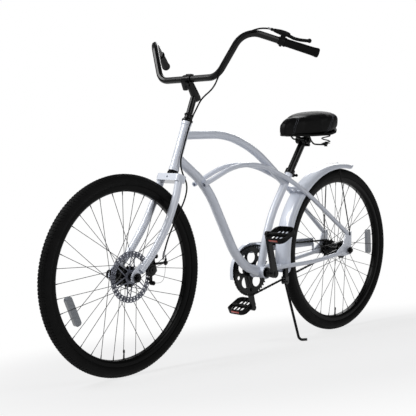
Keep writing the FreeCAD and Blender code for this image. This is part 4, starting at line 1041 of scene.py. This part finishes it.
# forward, half width, underside, crown
SADDLE_SECTIONS = [
    (382, 9, 878, 900),
    (376, 19, 871, 918),
    (352, 29, 869, 932),
    (322, 36, 869, 940),
    (292, 50, 869, 941),
    (264, 80, 869, 946),
    (238, 106, 871, 957),
    (208, 118, 873, 966),
    (176, 118, 878, 970),
    (144, 111, 885, 973),
    (118, 95, 894, 971),
    (104, 76, 903, 962),
    (97, 52, 912, 950),
]


def bowed(value, power):
    """A value whose size is raised to a power while its sign stays."""
    return math.copysign(abs(value) ** power, value)


def saddle_ring(forward, half, low, crown):
    """One cross section: a flat base, upright flanks and a low dome."""
    points = []
    high = crown - low
    base = low + SHOULDER * high
    for number in range(RING_POINTS):
        angle = 2 * math.pi * number / RING_POINTS
        upper = math.sin(angle) > 0
        y = half * bowed(math.cos(angle), 0.8 if upper else 0.3)
        reach = crown - base if upper else base - low
        points.append(spot(forward, y, base + reach * bowed(math.sin(angle),
                                                            0.9 if upper else 0.5)))
    return points


def saddle_loft():
    shape = bmesh.new()
    rings = [[shape.verts.new(point) for point in saddle_ring(*row)] for row in SADDLE_SECTIONS]
    skinned(shape, rings)
    shape.faces.new(rings[0])
    shape.faces.new(rings[-1])
    bmesh.ops.recalc_face_normals(shape, faces=shape.faces)
    return shape


print("saddle form has", len(SADDLE_SECTIONS), "sections of", RING_POINTS, "points")

# %% [markdown] A remesh gives the form even quads, and a short cloth simulation with a little
# air pressure inside rounds it as foam under vinyl would. How far the pressure may move the
# skin is limited, so the saddle keeps its measures. The saddle stays upright until its seams
# are sewn.

# %% Saddle padding
VOXEL = 0.005
PRESSURE = 4.0
PUFF_FRAMES = 20
PUFF_LIMIT = 0.004


def applied(piece):
    """Keep what a piece's modifiers show, and drop the modifiers."""
    seen = piece.evaluated_get(bpy.context.evaluated_depsgraph_get())
    mesh = bpy.data.meshes.new_from_object(seen)
    piece.modifiers.clear()
    piece.data = mesh


def puffed(piece):
    """Blow the piece up a little, as foam fills its cover."""
    start = [vert.co.copy() for vert in piece.data.vertices]
    cloth = piece.modifiers.new("puff", "CLOTH")
    cloth.settings.use_pressure = True
    cloth.settings.uniform_pressure_force = PRESSURE
    cloth.settings.effector_weights.gravity = 0
    cloth.point_cache.frame_start = 1
    cloth.point_cache.frame_end = PUFF_FRAMES
    for number in range(1, PUFF_FRAMES + 1):
        bpy.context.scene.frame_set(number)
    applied(piece)
    for vert, origin in zip(piece.data.vertices, start):
        way = vert.co - origin
        if way.length > PUFF_LIMIT:
            vert.co = origin + way.normalized() * PUFF_LIMIT


loft = bpy.data.meshes.new("saddle_padded")
form = saddle_loft()
form.to_mesh(loft)
form.free()
saddle = placed("saddle_padded", loft)
remesh = saddle.modifiers.new("even", "REMESH")
remesh.mode = "VOXEL"
remesh.voxel_size = VOXEL
applied(saddle)
puffed(saddle)
smooth = saddle.modifiers.new("smooth", "SMOOTH")
smooth.factor = 0.5
smooth.iterations = 3
finer = saddle.modifiers.new("finer", "SUBSURF")
finer.levels = 1
finer.render_levels = 1
applied(saddle)
saddle.data.shade_smooth()
saddle.data.materials.clear()
saddle.data.materials.append(SLOTS["saddle_vinyl"])
print("saddle", [round(side * 1000, 1) for side in saddle.dimensions], "mm")

# %% [markdown]
# Two rows of grey thread run down each flank, one round the nose and one near the rear, where
# the side panel meets the top. The rows are found by casting rays from outside towards the
# saddle's spine, so every stitch lies on the padded surface wherever that has gone.

# %% Saddle stitching
STITCH = 4.2
STITCH_GAP = 1.7
SPINE_Z = 915
SEAM_STEPS = 24


def thread_grey():
    finish = Finish("thread_grey")
    twist = finish.noise(900, 2)
    return finish.surface(
        Base_Color=finish.mix(twist, colour(0.30, 0.31, 0.34), colour(0.46, 0.47, 0.50)),
        Roughness=0.6 + 0.2 * twist,
        Normal=finish.bump(twist, 0.3, 0.0003))


def surface_row(skin, row, side):
    """Places on the saddle's skin seen from its spine, for rows of (x, angle up)."""
    places = []
    for x, lift in row:
        start = spot(x, 0, SPINE_Z)
        way = Vector((0, side * math.cos(math.radians(lift)), math.sin(math.radians(lift))))
        far = start + way * 0.2
        hit, normal, _, _ = skin.ray_cast(far, -way)
        if hit:
            places.append(hit + normal * 0.0003)
    return places


def stitched(places):
    """Short threads laid one after another along a row of places."""
    threads = []
    travelled = 0.0
    for at, end in zip(places, places[1:]):
        run = end - at
        while travelled < run.length:
            start = at + run.normalized() * travelled
            stop = start + run.normalized() * STITCH / 1000
            threads.append(bar(start, stop, 0.55, segments=6))
            travelled += (STITCH + STITCH_GAP) / 1000
        travelled -= run.length
    return threads


# forward at the foot, forward at the top, degrees up the flank at the foot and at the top
SEAMS = [
    (338, 306, -62, 48),
    (330, 298, -62, 48),
    (214, 160, -24, 26),
    (206, 152, -24, 26),
]
skin = BVHTree.FromPolygons([vert.co for vert in saddle.data.vertices],
                            [tuple(face.vertices) for face in saddle.data.polygons])
threads = []
for low_x, high_x, low_lift, high_lift in SEAMS:
    row = []
    for number in range(SEAM_STEPS + 1):
        share = number / SEAM_STEPS
        row.append((low_x + (high_x - low_x) * share ** 2,
                    low_lift + (high_lift - low_lift) * share))
    for side in (1, -1):
        threads += stitched(surface_row(skin, row, side))
dressed("saddle_stitching", gathered(threads), "frame", "saddle_vinyl",
        finish=thread_grey())
saddle.data.transform(park)
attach(saddle, "frame")
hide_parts("saddle_cover")
print("saddle faces", len(saddle.data.polygons))

# %% [markdown]
# Wires, springs and rails are tubes along a smooth line. A curve with a round bevel makes
# them, and it is turned into a mesh at once so that nothing live is left.

# %% Tubes
def tube(points, radius, steps=8, smooth=True):
    """A round tube along a smooth line near some places, or straight between them."""
    line = bpy.data.curves.new("line", "CURVE")
    line.dimensions = "3D"
    line.bevel_depth = radius / 1000
    line.bevel_resolution = 3
    line.use_fill_caps = True
    line.resolution_u = steps
    path = line.splines.new("NURBS" if smooth else "POLY")
    path.points.add(len(points) - 1)
    for point, place in zip(path.points, points):
        point.co = (*place, 1)
    path.order_u = 3
    path.use_endpoint_u = True
    thing = bpy.data.objects.new("line", line)
    mesh = bpy.data.meshes.new_from_object(thing)
    shape = bmesh.new()
    shape.from_mesh(mesh)
    bpy.data.objects.remove(thing)
    bpy.data.curves.remove(line)
    bpy.data.meshes.remove(mesh)
    return shape


print("tubes are drawn as curves and kept as meshes")

# %% [markdown]
# Below the saddle, two rails run back to a coil spring at each side, and a clamp holds the
# rails on the post. A coil's line comes from a formula, so its turns, width and height are
# three numbers. The rails' places are listed.

# %% Springs, rails and clamp
def coil(foot, height, radius, turns, wire):
    """A spring that stands on its foot."""
    points = []
    count = int(turns * 12) + 1
    for number in range(count):
        share = number / (count - 1)
        angle = 2 * math.pi * turns * share
        points.append(foot + spot(radius * math.cos(angle), radius * math.sin(angle),
                                  height * share))
    return tube(points, wire, steps=4)


SPRING_FOOT = spot(160, 0, 831)
SPRING_Y = 62
SPRING_HIGH = 38
RAIL_ROUTE = [(312, 11, 872), (290, 16, 854), (262, 21, 852), (216, 24, 852),
              (203, 27, 832), (180, 40, 830), (160, SPRING_Y, 830)]
POST_TOP = spot(237.7, 0, 844.8)

springs = []
rails = []
for side in (1, -1):
    foot = SPRING_FOOT + spot(0, side * SPRING_Y, 0)
    springs.append(coil(foot + spot(0, 0, 5), SPRING_HIGH, 18, 1.6, 2.7))
    cup = [(0, -2), (9, -2), (9, 2), (18, 3.5), (20, 6), (18.5, 6.5), (16, 5), (0, 4.5)]
    springs.append(spun(cup, foot, Vector((0, 0, 1)), 32))
    springs.append(bar(foot - spot(0, 0, 8), foot + spot(0, 0, 12), 4.0))
    springs.append(bar(foot - spot(0, 0, 9), foot - spot(0, 0, 3), 7.5, segments=6))
    springs.append(bar(foot + spot(0, 0, SPRING_HIGH), foot + spot(0, 0, SPRING_HIGH + 14),
                       20, 16, 32))
    rails.append(tube([spot(x, side * y, z) for x, y, z in RAIL_ROUTE], 3.5))
dressed("saddle_coils", gathered(springs), "frame", "black_metal", ["saddle_springs"])
dressed("saddle_wires", gathered(rails), "frame", "black_metal", ["saddle_rails"])

CLAMP_Z = 850
clamp_x = POST_TOP.x * 1000
clamp = [
    move(block(34, 40, 26, 4), Matrix.Translation(POST_TOP + spot(2, 0, 2))),
    cylinder_y(clamp_x, 0, CLAMP_Z, 12.5, 66),
    cylinder_y(clamp_x, 27, CLAMP_Z, 17, 7),
    cylinder_y(clamp_x, -27, CLAMP_Z, 17, 7),
    cylinder_y(clamp_x, 35, CLAMP_Z, 8.5, 8, segments=6),
    cylinder_y(clamp_x, -35, CLAMP_Z, 5, 6),
    cylinder_y(228, 0, 829, 7, 50),
]
dressed("saddle_clamp_bolted", gathered(clamp), "frame", "black_metal", ["saddle_clamp"])

# %% [markdown]
# The padding sits on a moulded base. Its edge follows the saddle's own sections, a little
# inside them, so the two always fit: a skin between two rings, closed above and below.

# %% Saddle base
def saddle_base():
    """The moulded base under the padding, its edge a little inside the cover's."""
    shape = bmesh.new()
    lows = []
    highs = []
    edge = [(forward, half - 7, low) for forward, half, low, _ in SADDLE_SECTIONS[1:]]
    around = edge + [(forward, -half, low) for forward, half, low in reversed(edge)]
    for forward, y, low in around:
        lows.append(shape.verts.new(spot(forward, y, low - 5)))
        highs.append(shape.verts.new(spot(forward, y, low + 3)))
    skinned(shape, [lows, highs])
    folded(shape, lows)
    folded(shape, highs)
    return shape


dressed("saddle_base", saddle_base(), "frame", "black_plastic", ["saddle_pan"])

# %% [markdown]
# The brake caliper is worked by a cable. A housing straddles the rotor's edge, a round
# actuator sits on its outer side with an arm that the cable pulls, and two bolts hold the
# lot to the fork's mount. The bare inner wire leaves the arm's anchor and curls back.

# %% Brake caliper
ROTOR_EDGE = FRONT_AXLE + spot(-91.9, 0, 26.35)
CALIPER_TURN = math.radians(16)
ACTUATOR_X = 1160
ACTUATOR_Z = 380


def at_rotor_edge(shape, x, y, z):
    """Put a shape at the rotor's rear edge, turned as the caliper is."""
    turn = Matrix.Rotation(CALIPER_TURN, 4, "Y")
    return move(shape, Matrix.Translation(ROTOR_EDGE) @ turn @ shift(x, y, z))


caliper = [
    at_rotor_edge(block(40, 8.5, 48, 3), 0, 46.2, 0),
    at_rotor_edge(block(38, 6.2, 44, 2.5), 0, 35, 0),
    at_rotor_edge(block(16, 18, 44, 3), -14, 40, 0),
]
actuator = [
    (0, 50), (21, 50), (22, 51), (22, 56), (20, 58), (15, 58.5), (14, 62), (9, 63), (0, 63)]
caliper.append(spun(actuator, spot(ACTUATOR_X, 0, ACTUATOR_Z), steps=48, closed=False))
caliper.append(cylinder_y(ACTUATOR_X, 64, ACTUATOR_Z, 5.5, 4, segments=6))
for x, z, radius in ((1141, 428, 8.5), (1154, 332, 8.0)):
    caliper.append(cylinder_y(x, 50, z, radius, 16))
    caliper.append(cylinder_y(x, 60, z, radius * 0.62, 5, segments=6))
# two straps to the fork's mount and the arm that the cable pulls: sizes, edge, middle
for sizes, place in (((15, 6, 60, 2.2), (1147, 47, 404)), ((13, 6, 56, 2.2), (1158, 47, 356)),
                     ((52, 4, 9, 1.6), (1118, 56, 401))):
    caliper.append(move(block(*sizes), shift(*place)))
anchor = spot(1093, 54, 402)
caliper.append(bar(anchor - spot(0, 0, 10), anchor + spot(-1, 0, 14), 5.2, 4.2))
caliper.append(cylinder_y(1093, 54, 401, 5.5, 14))
dressed("caliper_cable_pull", gathered(caliper), "steering", "black_metal", ["brake_caliper"])
ferrule = [
    bar(anchor + spot(-1, 0, 13), anchor + spot(-2.5, -1, 26), 2.4, 3.0),
    tube([anchor - spot(0, 0, 8), anchor + spot(1, 0, -34), anchor + spot(10, 0, -66),
          anchor + spot(32, 0, -74), anchor + spot(52, 0, -70)], 0.75),
]
dressed("caliper_inner_wire", gathered(ferrule), "steering", "plain_steel")

# %% [markdown]
# The handlebar in the photograph turns sharply out of its straight middle and bends gently
# where it sweeps back. A path of straight runs with a round arc at each corner gives that:
# the cut says how far from the corner its arc begins, so a small cut makes a tight bend.

# %% Handlebar and grips
BAR_RADIUS = 12.6
BAR_MIDDLE = spot(925, 0, 1072)
BAR_END = spot(663, 404, 1160)
BAR_CORNERS = [(925, 150, 1072, 38), (880, 243, 1240, 62)]


def bent_line(corners, cuts, steps=10):
    """Straight runs between corners, with an arc in place of each inner corner."""
    points = [corners[0]]
    for before, corner, after, cut in zip(corners, corners[1:], corners[2:], cuts):
        inward = (before - corner).normalized()
        outward = (after - corner).normalized()
        half = inward.angle(outward) / 2
        to_middle = (inward + outward).normalized() * (cut / 1000 / math.cos(half))
        start = corner + inward * cut / 1000 - (corner + to_middle)
        end = corner + outward * cut / 1000 - (corner + to_middle)
        for step in range(steps + 1):
            turned = start.normalized().slerp(end.normalized(), step / steps)
            points.append(corner + to_middle + turned * start.length)
    return points + [corners[-1]]


left_corners = [spot(x, y, z) for x, y, z, _ in BAR_CORNERS] + [BAR_END]
flip = Vector((1, -1, 1))
bar_corners = [corner * flip for corner in reversed(left_corners)] + left_corners
cuts = [cut for *_, cut in BAR_CORNERS]
bar_line = bent_line(bar_corners, cuts[::-1] + cuts)
dressed("handlebar_bent", tube(bar_line, BAR_RADIUS, smooth=False), "steering",
        "black_metal", ["handlebar"])

GRIP_ROWS = [
    (12.7, -128), (17, -128), (17.2, -125), (14.8, -121), (14.6, -112), (15.2, -70),
    (15.6, -25), (16.4, -10), (17.4, -4), (17.4, 1), (16, 4), (12, 4.4), (11, 3),
    (5, 3), (4, 4), (0, 4)]
sweep = (BAR_END - left_corners[1]).normalized()
for side, name in ((1, "left"), (-1, "right")):
    mirror = Vector((1, side, 1))
    shape = spun(GRIP_ROWS, BAR_END * mirror, sweep * mirror, 48, closed=False)
    dressed("grip_moulded_" + name, shape, "steering", "grip_rubber", ["grip_" + name])

# %% [markdown]
# The stem is a gooseneck. Its quill rises out of the headset, a thick forged neck leans
# forward from it, and a clamp holds the bar. A tapered lug with the clamp's bolt hangs in
# front, and an expander bolt sits in a socket on top of the bend.

# %% Stem
STEER = Vector((-0.3584, 0, 0.9336))
HEAD_TOP = spot(931.5, 0, 911.1)
STEM_BEND = HEAD_TOP + STEER * 0.096
NECK_HEEL = spot(880, 0, 1000)
neck_run = BAR_MIDDLE - NECK_HEEL
neck_rows = [(0, -8), (11, -8), (15, -5), (17, 3), (16.4, 30), (14.6, 60), (13, 82), (0, 82)]
clamp_rows = [(12.6, -20), (15.6, -20), (16.4, -19), (16.4, 19), (15.6, 20), (12.6, 20)]
lug = block(27, 24, 38)
for vert in lug.verts:
    if vert.co.z < 0:
        vert.co.x = vert.co.x * 0.5 - 0.005
        vert.co.y *= 0.7
bmesh.ops.bevel(lug, geom=lug.edges[:], offset=0.0035, segments=2, affect="EDGES",
                profile=0.5, material=-1)
stem = [
    bar(HEAD_TOP - STEER * 0.02, STEM_BEND + STEER * 0.004, BAR_RADIUS, segments=48),
    spun(neck_rows, NECK_HEEL, neck_run.normalized(), 48, closed=False),
    spun(clamp_rows, BAR_MIDDLE, Y_AXIS, 48),
    move(lug, shift(942, -1, 1048)),
    cylinder_y(938, 12, 1040, 6.2, 6, segments=24),
    move(block(20, 26, 9, 3), shift(913, -4, 1088)),
    bar(STEM_BEND + STEER * 0.006, STEM_BEND + STEER * 0.019, 9, 8, 32),
    bar(STEM_BEND + STEER * 0.017, STEM_BEND + STEER * 0.022, 6.2, segments=6),
]
dressed("stem_forged", gathered(stem), "steering", "black_metal", ["stem"])

# %% [markdown]
# The brake lever stands up from the bar in front of the left grip. Its places are given
# along the bar, outwards from it and to the side, so the whole lever leans with one
# direction.

# %% Brake lever
lever_seat = BAR_END - sweep * 0.146
lever_out = Vector((0.33, 0.44, 0.83))
lever_out = (lever_out - sweep * lever_out.dot(sweep)).normalized()
lever_side = sweep.cross(lever_out)


def lever_spot(along, out, side=0):
    return lever_seat + (sweep * along + lever_out * out + lever_side * side) / 1000


BODY_ROWS = [
    (0, -46), (4.6, -46), (5.6, -45), (5.6, -38), (4.4, -37.5), (4.4, -35), (6.4, -34),
    (8.2, -20), (9.8, -8), (10, 8), (8.8, 20), (6, 27), (0, 28)]
BAND_ROWS = [(12.6, -13), (13.6, -13), (15.2, -8), (15.8, 11), (15.2, 13), (12.6, 13)]
lever = [
    spun(BODY_ROWS, lever_spot(0, 32), sweep, 40, closed=False),
    spun(BAND_ROWS, lever_spot(7, 0), sweep, 48),
    bar(lever_spot(8, 9), lever_spot(3, 30), 10, 8.5, 32),
    bar(lever_spot(8, -13), lever_spot(8, -20), 5.2, segments=6),
    bar(lever_spot(24, 30, -10.5), lever_spot(24, 30, 10.5), 4.4, segments=24),
    tube([lever_spot(*place) for place in (
        (12, 31), (30, 28), (44, 25), (62, 26), (80, 29), (101, 34.5))], 6.0),
]
knob = bmesh.new()
bmesh.ops.create_uvsphere(knob, u_segments=24, v_segments=16, radius=0.0082)
lever.append(move(knob, Matrix.Translation(lever_spot(101, 35))))
dressed("lever_assembled", gathered(lever), "steering", "black_plastic", ["brake_lever"])

# %% [markdown]
# The cable's housing starts in the lever's adjuster. Listed points lead it down past the
# bar, the stem and the head tube to the caliper, close to where the photograph shows it.

# %% Brake cable
CABLE_ROUTE = [
    (833, 297, 1243), (856, 285, 1240), (881, 262, 1227), (898, 238, 1205),
    (917, 205, 1154), (932, 185, 1108), (938, 168, 1068), (932, 146, 1042),
    (930, 122, 1023), (933, 95, 1006), (935, 76, 990), (938, 56, 958), (938, 36, 930),
    (952, 29.5, 886), (973, 29.5, 828), (997, 30, 765), (993, 38, 722), (976, 50, 678),
    (996, 55, 622), (1042, 59, 562), (1075, 58, 505), (1096, 54, 450), (1102, 50, 412)]
housing = [lever_spot(-45, 32), lever_spot(-50, 32)]
housing += [spot(*place) for place in CABLE_ROUTE]
dressed("cable_housing", tube(housing, 3.0, steps=6), "steering", "cable_black",
        ["brake_cable"])

# %% [markdown]
# Turning parts need caps, washers and nuts to look as if they could be taken apart. Each one
# is a short spun or six-sided solid on its axle. The crank's boss reaches in to the shell,
# whose ends carry a raised ring and a locknut.

# %% Crank ends and axle nuts
crank_ends = [cylinder_y(CRANK_X, 57, CRANK_Z, 16, 31, 19)]
shell_ends = []
for side in (1, -1):
    crank_ends.append(cylinder_y(CRANK_X, side * 84.2, CRANK_Z, 9.5, 3))
    crank_ends.append(cylinder_y(CRANK_X, side * 85.4, CRANK_Z, 6.0, 3, segments=6))
    shell_ends.append(cylinder_y(CRANK_X, side * 36.4, CRANK_Z, 21.5, 5.4, segments=40))
dressed("crank_boss", gathered(crank_ends), "crankset", "black_metal")
dressed("shell_locknuts", gathered(shell_ends), "frame", "black_metal")

SHELL_RING = [(21.6, 31), (25.6, 31), (26.4, 32), (26.4, 35.4), (25.6, 36.2), (21.6, 36.2)]
shell_rings = [spun([(radius, side * along) for radius, along in SHELL_RING],
                    CRANK_AXIS, Y_AXIS, 64) for side in (1, -1)]
dressed("shell_rings", gathered(shell_rings), "frame", "frame_paint")


def nuts(centre, y, reach):
    """At both ends: a washer, a six-sided nut and the rounded end of the axle."""
    x = centre.x * 1000
    z = centre.z * 1000
    parts = []
    for side in (1, -1):
        parts += [cylinder_y(x, side * (y + 0.9), z, reach * 1.5, 1.8),
                  cylinder_y(x, side * (y + 5.4), z, reach, 7.4, segments=6),
                  cylinder_y(x, side * (y + 10.4), z, reach * 0.55, 4)]
    return gathered(parts)


dressed("front_axle_nuts", nuts(FRONT_AXLE, 75.6, 11), "steering", "black_metal")
dressed("rear_axle_nuts", nuts(REAR_AXLE, 79, 10.5), "frame", "black_metal")

# %% [markdown]
# The fender hugs the rear wheel like a gutter: a flat-topped arch with upright skirts. It is
# a thin section carried round the axle, and near both ends the skirts shrink away along a
# quarter circle, so the sheet's corners are round. The rings stand closer together there.

# %% Fender
FENDER_CROWN = 385
FENDER_HALF = 37.5
SKIRT = 22
SHEET = 1.6
FENDER_ENDS = (-10.5, 101.6)
CORNER = 4.0
ACROSS = 28
FENDER_STEPS = 96


def fender_ring(degrees):
    """The closed outline of the sheet at one angle round the rear axle."""
    to_end = min(degrees - FENDER_ENDS[0], FENDER_ENDS[1] - degrees)
    missing = max(0.0, 1 - to_end / CORNER)
    share = max(0.12, math.sqrt(max(0.0, 1 - missing ** 2)))
    outline = []
    for inset, order in ((0, 1), (SHEET, -1)):
        row = []
        for number in range(ACROSS + 1):
            angle = math.pi * (number / ACROSS - 0.5)
            along = (FENDER_HALF - inset) * bowed(math.sin(angle), 0.62)
            drop = (SKIRT * share) * (1 - bowed(math.cos(angle), 0.55) if number % ACROSS else 1)
            row.append((FENDER_CROWN - inset * (1 - drop / SKIRT) - drop, along))
        outline += row[::order]
    turn = math.radians(degrees)
    return [REAR_AXLE + spot(radius * math.cos(turn), along, radius * math.sin(turn))
            for radius, along in outline]


fender_shape = bmesh.new()
rings = []
for number in range(FENDER_STEPS + 1):
    eased = 0.5 - 0.5 * math.cos(math.pi * number / FENDER_STEPS)
    share = 0.6 * number / FENDER_STEPS + 0.4 * eased
    degrees = FENDER_ENDS[0] + (FENDER_ENDS[1] - FENDER_ENDS[0]) * share
    rings.append([fender_shape.verts.new(point) for point in fender_ring(degrees)])
skinned(fender_shape, rings)
folded(fender_shape, rings[0])
folded(fender_shape, rings[-1])
dressed("fender_skirted", fender_shape, "frame", "frame_paint", ["fender"])

# %% [markdown]
# The seat post is a plain tube from inside the seat tube up to the saddle's clamp, with a
# narrow collar under the clamp. Two places give its slope.

# %% Seat post
POST_RADIUS = 15.4
SEAT_TOP = spot(323, 0, 719)
seat_up = (POST_TOP - SEAT_TOP).normalized()
post = [bar(SEAT_TOP - seat_up * 0.1, POST_TOP, POST_RADIUS, segments=48),
        bar(POST_TOP - seat_up * 0.016, POST_TOP - seat_up * 0.002, POST_RADIUS + 1,
            POST_RADIUS, 48)]
dressed("seat_post_tube", gathered(post), "frame", "black_metal", ["seat_post"])

# %% [markdown]
# Small things say how the bicycle is put together: a ring and a locknut on the headset, a
# bolt on top of the fender, one at each side of the seat clamp, and ferrules where the
# cable's housing ends.

# %% Bolts, rings and ends
def bolt(place, axis, head, tall=4.0, washer=1.5):
    """A washer with a six-sided head on it, standing out along an axis."""
    foot = spot(*place)
    rise = axis.normalized() / 1000
    return [bar(foot - rise * 1.5, foot + rise * washer, head * 1.5, segments=24),
            bar(foot + rise * washer, foot + rise * (washer + tall), head, segments=6),
            bar(foot + rise * (washer + tall), foot + rise * (washer + tall + 0.6),
                head * 0.7, segments=18)]


RING_ROWS = [(17, -4), (20.2, -4), (21.2, -3), (21.2, 2), (20.2, 3), (17, 3)]
LOCK_ROWS = [(12.8, 0), (17.5, 0), (17.5, 6), (15.5, 8), (12.8, 8)]
headset = [
    spun(RING_ROWS, HEAD_TOP + STEER * 0.006, STEER, 64),
    spun(LOCK_ROWS, HEAD_TOP + STEER * 0.026, STEER, 6),
]
dressed("headset_locknut", gathered(headset), "steering", "black_metal")

turn = math.radians(91)
rise = Vector((math.cos(turn), 0, math.sin(turn)))
fender_bolt = bolt(REAR_AXLE * 1000 + rise * FENDER_CROWN, rise, 3.2, 2.4, 0.8)
dressed("fender_bolts", gathered(fender_bolt), "frame", "frame_paint")

clamp_bolts = []
for side in (1, -1):
    clamp_bolts += bolt((303.5, side * 17.4, 699.4), Y_AXIS * side, 4.2)
dressed("frame_bolts", gathered(clamp_bolts), "frame", "black_metal")

cable_ends = [
    bar(spot(1100.4, 50.6, 422), spot(1097.6, 53, 442), 4.2, 3.8),
    bar(lever_spot(-47, 32), lever_spot(-58, 32), 3.8, 3.8),
]
dressed("cable_ferrules", gathered(cable_ends), "steering", "plain_steel")

# %% [markdown]
